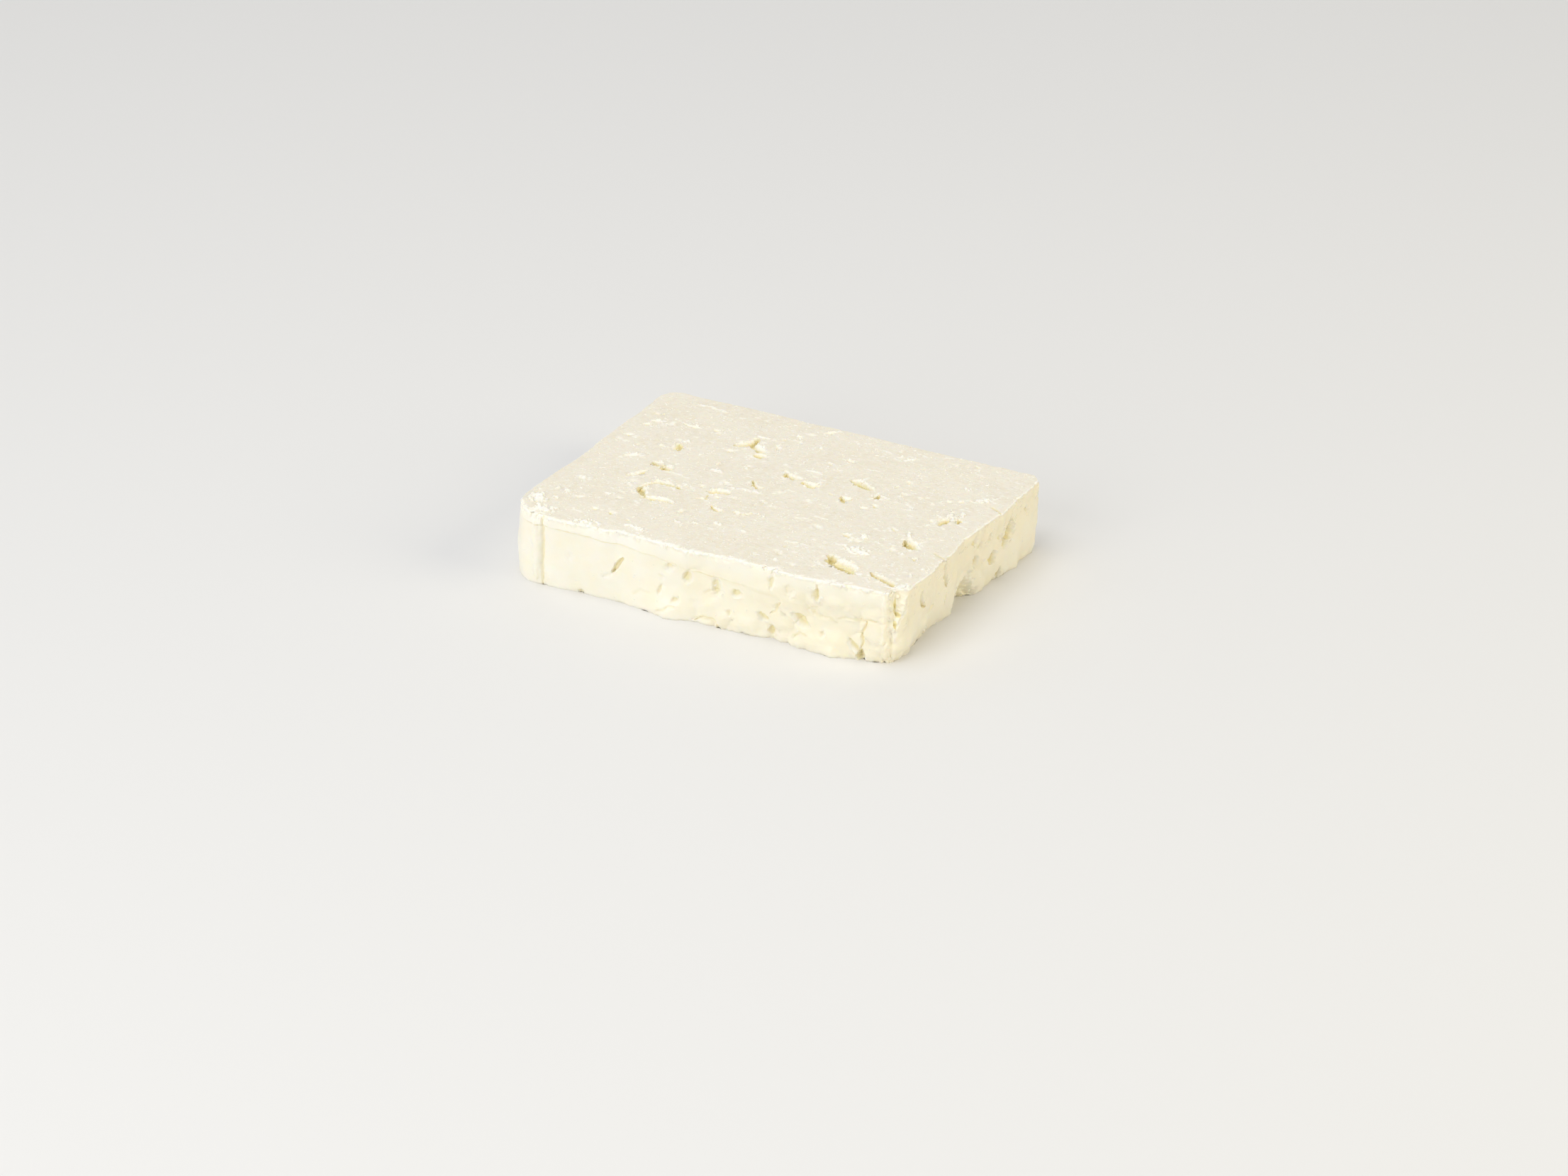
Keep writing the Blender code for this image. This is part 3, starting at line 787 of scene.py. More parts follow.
FRONT_CREASES = (
    Crease(
        ((-45.6, 21.0), (-45.8, 16.0), (-46.0, 11.0), (-46.4, 6.0), (-46.8, -0.5)),
        0.62, 0.55, False, 0.9,
    ),
    Crease(((-45.0, 21.0), (-45.2, 11.0), (-46.0, -0.5)), 1.8, 0.35, False, 0.0),
    Crease(((-48.0, 19.5), (-48.0, 10.0), (-48.4, 1.5)), 1.3, -0.5),
    Crease(((-22.5, 13.4), (-23.4, 12.2), (-24.7, 9.9), (-25.9, 8.4)), 0.66, 1.05, True, 1.0),
    Crease(((-25.2, 9.2), (-26.6, 7.8), (-28.9, 6.8)), 0.55, 0.3, False, 0.3),
    Crease(((33.2, 19.4), (33.3, 15.4)), 0.45, 0.5),
    Crease(((46.8, 11.6), (46.2, 9.6), (45.2, 7.2), (45.5, 5.4), (44.9, 3.4)), 0.5, 0.6),
    Crease(((38.6, 10.4), (41.0, 11.3), (44.4, 10.9), (47.0, 11.9), (49.8, 11.9)), 0.6, 0.35),
    Crease(((-12.6, 1.4), (-10.4, 2.2), (-9.0, 3.4), (-6.8, 3.4)), 0.5, 0.35),
    Crease(((-2.1, 0.6), (0.6, 2.2), (3.4, 2.1), (5.2, -0.2)), 0.5, 0.4),
    Crease(((0.8, 8.8), (2.4, 10.2), (4.4, 10.6)), 0.45, 0.3),
    Crease(((19.4, 7.3), (21.2, 8.6), (21.5, 10.4), (23.0, 11.6)), 0.55, 0.4),
    Crease(((41.6, 5.6), (43.0, 4.6), (44.9, 1.8)), 0.5, 0.45),
    Crease(((30.6, 11.8), (33.0, 10.2), (36.4, 10.4), (38.6, 9.0)), 0.6, 0.3),
    Crease(((-20.0, 3.8), (-17.4, 5.6), (-14.6, 5.2)), 0.6, 0.2),
    Crease(((26.0, 2.2), (28.0, 4.2), (30.4, 4.0)), 0.55, 0.35),
    Crease(((51.6, 20.6), (51.5, 13.0), (51.2, 7.0), (51.0, 1.0)), 0.9, -0.55),
)

RIGHT_TEARS = (
    Tear(19.6, 13.0, 3.3, 2.2, -70, 2.2),
    Tear(17.5, 10.6, 1.8, 1.2, -75, 1.3),
    Tear(8.2, 15.6, 1.4, 1.1, -80, 1.0),
    Tear(28.2, 15.1, 1.6, 1.0, -75, 0.9),
    Tear(11.9, 8.3, 2.1, 1.7, -70, 1.8),
    Tear(3.4, 10.6, 1.7, 1.3, -80, 1.4),
    Tear(1.0, 17.2, 1.6, 1.0, -75, 0.9),
    Tear(4.0, 15.4, 1.2, 0.9, -75, 0.9),
    Tear(14.0, 13.2, 1.2, 0.9, -75, 0.9),
    Tear(-0.8, 6.8, 1.8, 0.9, 45, 0.8),
    Tear(7.1, 9.1, 0.8, 0.6, -75, 0.4),
    Tear(16.5, 1.4, 2.0, 0.9, -90, 1.6),
    Tear(-20.8, 1.6, 1.8, 1.4, -90, 0.9),
    Tear(-23.6, 5.0, 3.0, 2.4, -60, -0.7),
    Tear(-33.0, 4.6, 5.0, 5.4, 0, -0.9),
    Tear(-1.0, 2.0, 5.6, 6.0, -14, 2.9, 0.0, 0.5),
)

RIGHT_CREASES = (
    Crease(((17.7, 12.2), (22.4, 8.7)), 0.35, -0.3),
    Crease(((0.2, 7.3), (-1.8, 6.1)), 0.35, 0.4),
    Crease(((-17.3, 19.8), (-16.5, 17.4), (-15.7, 14.8), (-13.7, 11.0)), 0.7, 1.0, True, 0.7),
    Crease(((-29.6, 16.9), (-29.2, 14.4), (-27.9, 12.4), (-25.9, 10.7)), 0.8, 1.0, True, 0.7),
    Crease(((-18.7, 8.1), (-20.2, 7.4), (-21.4, 5.8)), 0.5, 0.6),
    Crease(((-12.9, 9.0), (-12.7, 7.0), (-13.2, 5.0)), 0.4, 0.4),
    Crease(((-36.2, 12.6), (-34.6, 10.4), (-34.0, 8.0)), 0.3, 0.2),
)

# The broken near right corner: its hollow narrows downwards to a point
CORNER_TEARS = (
    Tear(11.4, 19.8, 10.8, 2.8, -100.5, 1.8, -0.1, 0.15),
    Tear(10.2, 16.2, 2.2, 0.8, -96, 1.8),
    Tear(10.9, 13.9, 1.2, 0.7, -45, 1.65),
    Tear(10.2, 11.0, 1.3, 0.7, -95, 1.3),
    Tear(12.2, 16.8, 0.8, 0.5, -70, -0.6),
    Tear(11.2, 18.6, 0.8, 0.6, 0, -0.7),
    Tear(11.2, 15.2, 0.6, 0.4, -50, -0.5),
    Tear(11.0, 5.2, 2.3, 4.2, 0, -0.7),
)
CORNER_CREASES = (
    Crease(((13.2, 19.0), (11.8, 14.6), (10.4, 11.6), (9.4, 9.2)), 0.6, -0.45),
    Crease(((13.0, 9.0), (13.4, 5.0), (12.8, 1.6)), 0.6, 0.45, False, 0.3),
    Crease(((9.2, 8.6), (9.0, 5.0), (9.3, 1.8)), 0.6, 0.3, False, 0.3),
)

# How far the front stands out past its plain plane, along its cut edge and along its base
FRONT_EDGE_LINE = (
    (-57.0, 0.2), (-48.0, 0.7), (-40.0, 1.1), (-32.0, 0.5), (-27.0, 0.8), (-24.0, -0.5),
    (-18.0, 0.2), (-9.0, 0.6), (-3.0, 1.9), (3.0, 0.7), (10.0, 0.3), (20.0, 1.0), (30.0, 1.7),
    (43.0, 0.6), (50.0, 0.5),
)
FRONT_BASE_LINE = (
    (-57.0, -0.6), (-50.0, -0.2), (-41.0, -0.2), (-36.0, -0.9), (-23.0, -0.4), (-13.5, 1.1),
    (-8.6, 1.8), (-4.0, 0.8), (-1.0, 0.1), (6.5, 1.1), (10.0, 0.3), (15.5, 0.9), (20.2, -0.9),
    (24.4, 0.4), (30.4, 1.1), (38.8, 1.6), (44.5, 0.6), (50.3, -0.6),
)
# The same for the right side
RIGHT_EDGE_LINE = (
    (-38.0, -0.9), (-33.0, -0.5), (-28.0, 0.1), (-20.0, -0.1), (-17.6, -0.1), (-16.4, 0.5),
    (-12.0, -0.1), (-3.5, -0.7), (4.5, 0.2), (11.0, 0.5), (14.0, 0.4), (15.4, 1.1), (24.0, 0.3),
    (34.0, 0.2),
)
RIGHT_BASE_LINE = (
    (-38.0, -3.2), (-27.0, -3.5), (-17.5, -4.6), (-8.0, -3.3), (-6.2, -3.4), (-5.2, -4.2),
    (1.9, -4.6), (4.5, -3.6), (8.0, -2.4), (17.0, -2.1), (27.0, -0.8), (36.0, -1.2),
)


@dataclass
class BlockForm:
    """The block's form without its marks: plan, edges, leaning sides and curd lumps.

    Its fields carry the driving sizes, named as in the part's source.
    """

    length: float = 113.4
    depth: float = 82.0
    height: float = 20.5
    near_left_radius: float = 10.0
    near_right_radius: float = 5.0
    far_left_radius: float = 6.0
    far_right_radius: float = 3.8
    back_slant: float = 0.032
    back_extra: float = -1.0
    left_flare: float = 1.4
    right_flare: float = 1.0
    flare_start: float = 5.0
    flare_length: float = 30.0
    left_lean: float = 1.5
    top_round: float = 0.55
    base_round: float = 0.6
    barrel: float = 0.45
    wave_length: float = 17.0
    wave_height: float = 0.35
    top_wave_height: float = 0.12
    curd_size: float = 8.5
    curd_bulge: float = 1.1
    curd_middle: float = 0.5
    curd_crease: float = 0.7
    curd_crease_width: float = 0.2
    curd_warp: float = 0.35
    curd_warp_size: float = 0.55
    curd_open_size: float = 1.4
    curd_open_shift: float = 21.0
    curd_open_ramp: Range = (-0.15, 0.3)
    seam_low: float = 12.2
    seam_drop: float = 5.7
    seam_middle: float = -2.0
    seam_spread: float = 13.0
    band_proud: float = 0.4
    edge_reach: float = 2.2
    side_fade: float = 4.0
    base_fade: float = 7.0
    right_line_ramp: Range = (0.78, 0.94)
    front_line_ramp: Range = (0.25, 0.07)
    edge_line_ramp: Range = (0.35, 1.0)
    base_line_ramp: Range = (0.45, 0.0)
    plan_middle: tuple[float, float, float] = (0.0, -0.3, 0.0)

    def round_plan(self, x: Array, y: Array) -> tuple[Array, Array, Array]:
        """Moves points of the plain rectangle into the outline with round corners.

        Args:
            x: their x.
            y: their y.

        Returns:
            Their new x and y, and the outward direction of the nearest side.
        """
        right = x > 0.0
        back = y > 0.0
        radius = np.where(
            right,
            np.where(back, self.far_right_radius, self.near_right_radius),
            np.where(back, self.far_left_radius, self.near_left_radius),
        )
        sign_x = np.where(right, 1.0, -1.0)
        sign_y = np.where(back, 1.0, -1.0)
        core_x = self.length / 2 - radius
        core_y = self.depth / 2 - radius
        over_x = (np.abs(x) - core_x) / radius
        over_y = (np.abs(y) - core_y) / radius
        corner = (over_x > 0.0) & (over_y > 0.0)
        reach = np.where(corner, np.hypot(over_x, over_y), 1.0)
        pull = np.where(corner, np.maximum(over_x, over_y) / reach, 1.0)
        new_x = np.where(corner, sign_x * (core_x + radius * over_x * pull), x)
        new_y = np.where(corner, sign_y * (core_y + radius * over_y * pull), y)
        to_x = self.length / 2 - np.abs(x) < self.depth / 2 - np.abs(y)
        out_x = np.where(corner, sign_x * over_x / reach, np.where(to_x, sign_x, 0.0))
        out_y = np.where(corner, sign_y * over_y / reach, np.where(to_x, 0.0, sign_y))
        return new_x, new_y, np.stack([out_x, out_y, np.zeros(len(x))], axis=1)

    def skew_plan(self, points: Array) -> Array:
        """Gives the plan its slanting back, its flares and the guide lines of two sides.

        Args:
            points: points of the outline, one row each.

        Returns:
            The skewed points.
        """
        x, y, z = points.T
        up = np.clip(z / self.height, 0.0, 1.0)
        back_share = (y + self.depth / 2) / self.depth
        right_share = (x + self.length / 2) / self.length
        flare_end = self.flare_start + self.flare_length
        left_flare = self.left_flare * smooth_step(self.flare_start, flare_end, -y)
        right_flare = self.right_flare * smooth_step(self.flare_start, flare_end, y)
        new_x = x + right_share * right_flare - (1.0 - right_share) * left_flare
        new_x += (1.0 - right_share) ** 2 * self.left_lean * z / self.height
        new_y = y + back_share * (self.back_extra - self.back_slant * x)
        right_line = up * along_line(RIGHT_EDGE_LINE, y)
        right_line += (1.0 - up) * along_line(RIGHT_BASE_LINE, y)
        new_x += smooth_step(*self.right_line_ramp, right_share) * right_line
        edge_pull = smooth_step(*self.edge_line_ramp, up)
        base_pull = smooth_step(*self.base_line_ramp, up)
        front_line = edge_pull * along_line(FRONT_EDGE_LINE, x)
        front_line += base_pull * along_line(FRONT_BASE_LINE, x)
        new_y -= smooth_step(*self.front_line_ramp, back_share) * front_line
        return np.stack([new_x, new_y, z], axis=1)

    def round_edge(self, inset: Array, rise: Array, radius: float) -> tuple[Array, Array]:
        """Rounds the edge between a side and a flat face.

        Args:
            inset: distances from the sharp edge along the flat face.
            rise: distances from it along the side.
            radius: the rounding.

        Returns:
            The new distances.
        """
        over_flat = np.clip((radius - inset) / radius, 0.0, 1.0)
        over_side = np.clip((radius - rise) / radius, 0.0, 1.0)
        both = (over_flat > 0.0) & (over_side > 0.0)
        reach = np.hypot(over_flat, over_side + TINY)
        pull = np.where(both, np.maximum(over_flat, over_side) / reach, 1.0)
        return (
            np.where(both, radius * (1.0 - over_flat * pull), inset),
            np.where(both, radius * (1.0 - over_side * pull), rise),
        )

    def bare(self, box_points: Array) -> tuple[Array, Array, Array]:
        """Places points of the plain box on the block without its relief.

        Args:
            box_points: points of the box, one row each.

        Returns:
            The points, the outward direction of the nearest side, and how far in
            from that side each lies.
        """
        x, y, z = box_points.T
        inset = np.minimum(self.length / 2 - np.abs(x), self.depth / 2 - np.abs(y))
        new_x, new_y, outward = self.round_plan(x, y)
        top_inset, fall = self.round_edge(inset, self.height - z, self.top_round)
        base_inset, rise = self.round_edge(inset, z, self.base_round)
        high = z > self.height / 2
        new_inset = np.where(high, top_inset, base_inset)
        new_z = np.where(high, self.height - fall, rise)
        points = np.stack([new_x, new_y, new_z], axis=1)
        points += outward * (inset - new_inset)[:, None]
        return self.skew_plan(points), outward, inset

    def seam_height(self, x: Array) -> Array:
        """Height of the seam under the front's moulded band at x."""
        past_middle = (x - self.seam_middle) / self.seam_spread
        return self.seam_low + self.seam_drop / (1.0 + np.exp(past_middle))

    def curd(self, points: Array, size: float) -> Array:
        """Lumps of curd, with a crease where two of them meet.

        Args:
            points: places, one row each.
            size: size of a lump.

        Returns:
            How far the lumps stand out at each place.
        """
        warp_places = points / (self.curd_warp_size * size)
        warp = np.array([noise.noise_vector(Vector(place)) for place in warp_places])
        places = points / size + self.curd_warp * warp
        near, far = np.array([noise.voronoi(Vector(place))[0][:2] for place in places]).T
        crease = 1.0 - np.clip((far - near) / self.curd_crease_width, 0.0, 1.0)
        patches = noise_at(points, self.curd_open_size * size, self.curd_open_shift)
        open_share = smooth_step(*self.curd_open_ramp, patches)
        bulge = self.curd_bulge * (self.curd_middle - near)
        return bulge - self.curd_crease * crease**2 * open_share


@dataclass
class FetaBlock:
    """The block of feta as one fine closed mesh.

    Attributes:
        form: its form without marks.
        cut_face: the marks of the top.
        front: the marks of the front.
        right: the marks of the right side.
        corner: the marks of the broken near right corner.
        spacing: spacing of the lattice along x, y and z.
        levels: for each level of refining, how far outside a mark it reaches, and the
            depth of the shallowest mark that it counts.
        edge_steps: widths of the cells next to each edge of the box.
        edge_band: the cut edge is refined this far from it.
        flat_inset: the underside is one flat face further in than this.
        crisp_angle: faces that meet at more than this keep a crisp edge, in degrees.
    """

    form: BlockForm = field(default_factory=BlockForm)
    cut_face: MarkedSide = field(
        default_factory=lambda: MarkedSide(
            Side.TOP, TOP_TEARS + small_tears(90, 3), TOP_CREASES + small_ridges(60, 8)
        )
    )
    front: MarkedSide = field(
        default_factory=lambda: MarkedSide(Side.FRONT, FRONT_TEARS, FRONT_CREASES, 0.3, 0.36)
    )
    right: MarkedSide = field(
        default_factory=lambda: MarkedSide(Side.RIGHT, RIGHT_TEARS, RIGHT_CREASES, 0.25, 0.55)
    )
    corner: MarkedSide = field(
        default_factory=lambda: MarkedSide(Side.CORNER, CORNER_TEARS, CORNER_CREASES, 0.3, 0.26)
    )
    spacing: tuple[float, float, float] = (0.90, 0.90, 0.68)
    edge_steps: tuple[float, ...] = (0.14, 0.18, 0.26)
    levels: tuple[tuple[float, float], ...] = ((1.3, 0.0), (1.05, 0.38))
    edge_band: float = 1.1
    flat_inset: float = 1.8
    crisp_angle: float = 48.0

    # What the finish and the flecks read from the mesh
    VALUES = ("ochre_shade", "white_and_highlight", "side", "warm", "flecks")
    # Where cells are refined: on a side that faces this far out, and round the broken corner
    FACES_OUT = 0.7
    NEAR_CORNER = (0.05, 0.02)
    SEAM_MARGIN = 0.7
    SEAM_FADES = 12.0
    # How a point comes to count as lying on the front or the right, or on the broken corner
    FACING = (0.45, 0.85)
    CORNER_TO_RIGHT = (0.02, 0.2)
    CORNER_TO_FRONT = (0.0, 0.12)
    # The moulded band, and the cracked seam under it
    SEAM_WAVES = (Waves(5.0, 31.0), Waves(1.4, 33.0, 0.4))
    SEAM_WOBBLE = 0.3
    BAND_STEP = (-0.2, 0.12)
    BAND_END = (60.0, 20.0)
    BAND_WHITE = 0.75
    BAND_WHITE_RISE = (14.5, 18.5)
    CRACK_PATCHES = Waves(7.0, 41.0)
    CRACK_RAMP = (-0.3, 0.2)
    CRACK_LEAST = 0.5
    CRACK_END = (30.0, -8.0)
    CRACK_DROP = 0.18
    CRACK_WIDE = 0.24
    CRACK_DEPTH = 0.3
    # Painted shade along the cracked seam
    CRACK_SHADE = 0.45
    # Lumps of curd: their share on the front, and the shares of big and small ones on each side
    LUMPY_LEAST = 0.15
    LUMPY_MORE = 0.8
    LUMPY_ALONG = (-30.0, 20.0)
    LUMPY_UNDER_SEAM = (7.0, -1.0)
    SMALL_CURD = 0.34
    FRONT_SMALL = 0.3
    RIGHT_LUMPS = (0.6, 0.2)
    PLAIN_LUMPS = (0.35, 0.06)
    # The ragged foot of the front and the right
    FOOT_REACH = 3.5
    FOOT_ALONG = (-38.0, -8.0)
    FOOT_WAVES = (Waves(2.3, 17.0, 0.5), Waves(0.8, 13.0, 0.15))
    FOOT_GRAINS = (1.3, 9.0)
    FOOT_CHIPS = 0.22
    FOOT_WHITE = 0.5
    FOOT_WHITE_RAMP = (0.2, 0.8)
    # Upright streaks of the right side
    STREAK_SQUASH = (1.0, 1.0, 0.15)
    STREAKS = (Waves(1.3, 91.0, 0.17), Waves(3.2, 93.0, 0.24))
    # How strongly the marks of a side show painted ochre shade
    FRONT_SHADE = 0.46
    RIGHT_SHADE = 0.55
    CORNER_SHADE = 0.72
    # Where the sides are warmer in colour
    WARM_RIGHT = (0.2, 0.9)
    WARM_FRONT = (0.3, 0.8)
    WARM_ALONG = (-35.0, 30.0)
    FRONT_WARMTH = 0.56
    PALE_FOOT = (3.0, 16.0)
    PALE_FOOT_LEAST = 0.5
    # The crumbly cut edge
    EDGE_START = 0.1
    EDGE_WAVES = (Waves(3.8, 3.0, 0.85), Waves(0.95, 7.0, 0.4))
    EDGE_GRAINS = (1.15, 7.0)
    EDGE_CHIPS = 0.45
    EDGE_PATCHES = Waves(8.0, 71.0)
    EDGE_PATCH_RAMP = (-0.25, 0.3)
    EDGE_PATCH_LEAST = 0.5
    EDGE_FACING = (0.2, 0.8)
    EDGE_AWAY_LEAST = 0.15
    EDGE_OUT = 0.85
    EDGE_UP = 0.4
    EDGE_WHITE = 0.9
    EDGE_WHITE_REACH = 0.3
    EDGE_WHITE_SHARES = (0.1, 0.6, 0.6, 0.9)
    EDGE_WHITE_BLUR = 0.12
    SIDE_COLOUR_DROP = (0.9, 0.1)
    # How many loose flecks lie where
    FLECK_PATCHES = Waves(7.0, 81.0)
    FLECK_RAMP = (-0.2, 0.45)
    FLECKS_LEAST = 0.35
    FLECKS_IN_PATCH = 1.1
    FLECKS_ON_TORN = 2.0
    FLECKS_ON_SIDE = 0.1
    FLECK_EDGE = 0.5
    FLECK_FOOT = 1.0

    def places(self, axis: int) -> Array:
        """Where the lattice cuts the box along one axis, both ends included.

        Args:
            axis: 0, 1 or 2.

        Returns:
            The places, in order.
        """
        size = (self.form.length, self.form.depth, self.form.height)[axis]
        start = 0.0 if axis == 2 else -size / 2
        ends = np.concatenate([[0.0], np.cumsum(self.edge_steps)])
        inner = size - 2 * ends[-1]
        count = round(inner / self.spacing[axis])
        between = start + ends[-1] + inner * np.arange(1, count) / count
        return np.concatenate([start + ends, between, (start + size - ends)[::-1]])

    def lattice(self) -> tuple[Array, list[tuple[int, ...]]]:
        """The box's surface as a lattice of quads.

        Returns:
            Its points, and its faces by point number, all facing outwards.
        """
        lines = [self.places(axis) for axis in range(3)]
        counts = [len(line) for line in lines]
        quads = []
        for axis in range(3):
            first, second = ((1, 2), (0, 2), (0, 1))[axis]
            for last in (0, counts[axis] - 1):
                cells = (np.arange(counts[first] - 1), np.arange(counts[second] - 1))
                a, b = (grid.ravel() for grid in np.meshgrid(*cells, indexing="ij"))
                if axis == 2 and last == 0:
                    keep = ~self.under_middle(lines, a, b)
                    a, b = a[keep], b[keep]
                corners = []
                for step_a, step_b in ((0, 0), (1, 0), (1, 1), (0, 1)):
                    index = [None, None, None]
                    index[axis] = np.full(len(a), last)
                    index[first] = a + step_a
                    index[second] = b + step_b
                    corners.append((index[0] * counts[1] + index[1]) * counts[2] + index[2])
                outward = (last > 0) == (axis != 1)
                quads.append(np.stack(corners if outward else corners[::-1], axis=1))
        codes, faces = np.unique(np.concatenate(quads), return_inverse=True)
        faces = faces.reshape(-1, 4)
        i, rest = np.divmod(codes, counts[1] * counts[2])
        j, k = np.divmod(rest, counts[2])
        points = np.stack([lines[0][i], lines[1][j], lines[2][k]], axis=1)
        return points, faces.tolist()

    def under_middle(self, lines: list[Array], a: Array, b: Array) -> Array:
        """Which cells of the underside lie in its flat middle.

        Args:
            lines: the lattice's places along each axis.
            a: the cells' numbers along x.
            b: their numbers along y.

        Returns:
            True for each cell of the middle.
        """
        x_limit = self.form.length / 2 - self.flat_inset
        y_limit = self.form.depth / 2 - self.flat_inset
        inside = (lines[0][a] > -x_limit) & (lines[0][a + 1] < x_limit)
        return inside & (lines[1][b] > -y_limit) & (lines[1][b + 1] < y_limit)

    def refine(self, mesh: bmesh.types.BMesh) -> None:
        """Halves the lattice's cells on and near the marks, level by level.

        Args:
            mesh: the lattice, which is changed.
        """
        for level, (margin, least) in enumerate(self.levels):
            faces = mesh.faces[:]
            centres = np.array([face.calc_center_median() for face in faces])
            bare, outward, inset = self.form.bare(centres)
            on_top = centres[:, 2] > self.form.height - ON_PLANE
            on_side = ~on_top & (centres[:, 2] > ON_PLANE)
            facing_front = outward[:, 1] < -self.FACES_OUT
            facing_right = outward[:, 0] > self.FACES_OUT
            wanted = on_top & self.cut_face.near_marks(bare, margin, least)
            wanted |= on_side & facing_front & self.front.near_marks(bare, margin, least)
            wanted |= on_side & facing_right & self.right.near_marks(bare, margin, least)
            near_edge = np.hypot(inset, self.form.height - centres[:, 2]) < self.edge_band
            to_right, to_front = self.NEAR_CORNER
            cornered = on_side & (outward[:, 0] > to_right) & (outward[:, 1] < -to_front)
            wanted |= cornered & (level == 0 or self.corner.near_marks(bare, margin, least))
            wanted |= near_edge & ((level == 0) | facing_front)
            off_seam = np.abs(bare[:, 2] - self.form.seam_height(bare[:, 0]))
            on_seam = (off_seam < self.SEAM_MARGIN) & (bare[:, 0] < self.SEAM_FADES)
            wanted |= on_side & facing_front & on_seam
            halved = (faces[index] for index in np.flatnonzero(wanted))
            # A dict keeps the edges in order, so that each run gives the same mesh
            edges = dict.fromkeys(edge for face in halved for edge in face.edges)
            bmesh.ops.subdivide_edges(mesh, edges=list(edges), cuts=1, use_grid_fill=True)

    def side_relief(self, points: Array, outward: Array) -> Relief:
        """Relief of the four sides: guide lines, waves, curd lumps and marks.

        Args:
            points: points on or near the sides, one row each.
            outward: the outward direction of the nearest side at each.

        Returns:
            Their relief.
        """
        form = self.form
        x, _, z = points.T
        front = smooth_step(*self.FACING, -outward[:, 1])
        right = smooth_step(*self.FACING, outward[:, 0])
        corner = smooth_step(*self.CORNER_TO_RIGHT, outward[:, 0])
        corner *= smooth_step(*self.CORNER_TO_FRONT, -outward[:, 1])
        over_seam = z - (form.seam_height(x) + self.SEAM_WOBBLE * waves_at(self.SEAM_WAVES, points))
        band = form.band_proud * smooth_step(*self.BAND_STEP, over_seam)
        band *= smooth_step(*self.BAND_END, x)
        cracked = self.cracks(points, over_seam)
        out = form.wave_height * noise_at(points, form.wave_length)
        out += form.barrel * np.sin(math.pi * np.clip(z / form.height, 0.0, 1.0))
        for bulge in self.lumps(points, front, right, band - self.CRACK_DEPTH * cracked, over_seam):
            out += bulge
        chips = chips_at(points, *self.FOOT_GRAINS)
        along_foot = np.maximum(front * smooth_step(*self.FOOT_ALONG, x), right)
        ragged_foot = smooth_step(self.FOOT_REACH, 0.0, z) * along_foot
        out += ragged_foot * (waves_at(self.FOOT_WAVES, points) + self.FOOT_CHIPS * chips)
        out += right * waves_at(self.STREAKS, points * np.array(self.STREAK_SQUASH))
        foot_white = self.FOOT_WHITE * ragged_foot * smooth_step(*self.FOOT_WHITE_RAMP, chips)
        band_white = self.BAND_WHITE * front * smooth_step(*self.BAND_WHITE_RISE, z)
        result = Relief(-out, np.zeros(len(points)), np.maximum(foot_white, band_white))
        for share, shade_share, side in (
            (front, self.FRONT_SHADE, self.front),
            (right, self.RIGHT_SHADE, self.right),
            (corner, self.CORNER_SHADE, self.corner),
        ):
            marks = side.relief(points)
            result.sink += share * marks.sink
            result.ochre_shade = np.maximum(result.ochre_shade, shade_share * share * marks.ochre_shade)
            result.white_and_highlight = np.maximum(result.white_and_highlight, share * marks.white_and_highlight)
        # Painted shade along the front's cracked seam
        result.ochre_shade = np.maximum(result.ochre_shade, self.CRACK_SHADE * front * cracked)
        return result

    def cracks(self, points: Array, over_seam: Array) -> Array:
        """How far the seam is cracked open.

        Args:
            points: points on or near the sides, one row each.
            over_seam: how high over the seam each is.

        Returns:
            The share for each, from 0 to 1.
        """
        patches = smooth_step(*self.CRACK_RAMP, self.CRACK_PATCHES.at(points))
        cracked = at_least(self.CRACK_LEAST, patches) * smooth_step(*self.CRACK_END, points[:, 0])
        away = np.abs(over_seam + self.CRACK_DROP) / self.CRACK_WIDE
        return cracked * np.clip(1.0 - away, 0.0, 1.0)

    def lumps(
        self, points: Array, front: Array, right: Array, band: Array, over_seam: Array
    ) -> tuple[Array, Array, Array]:
        """Lumps of curd on all sides, with the front's band.

        Args:
            points: points on or near the sides, one row each.
            front: how far each counts as lying on the front.
            right: how far each counts as lying on the right side.
            band: how far the band stands out, less its cracks.
            over_seam: how high over the seam each point is.

        Returns:
            How far the front, the right side and the two plain sides stand out at each.
        """
        form = self.form
        lumpy = self.LUMPY_MORE * smooth_step(*self.LUMPY_ALONG, points[:, 0])
        lumpy = self.LUMPY_LEAST + lumpy * smooth_step(*self.LUMPY_UNDER_SEAM, over_seam)
        plain = 1.0 - np.maximum(front, right)
        big = form.curd(points, form.curd_size)
        small = form.curd(points, form.curd_size * self.SMALL_CURD)
        right_big, right_small = self.RIGHT_LUMPS
        plain_big, plain_small = self.PLAIN_LUMPS
        return (
            front * (band + lumpy * (big + self.FRONT_SMALL * small)),
            right * (right_big * big + right_small * small),
            plain * (plain_big * big + plain_small * small),
        )

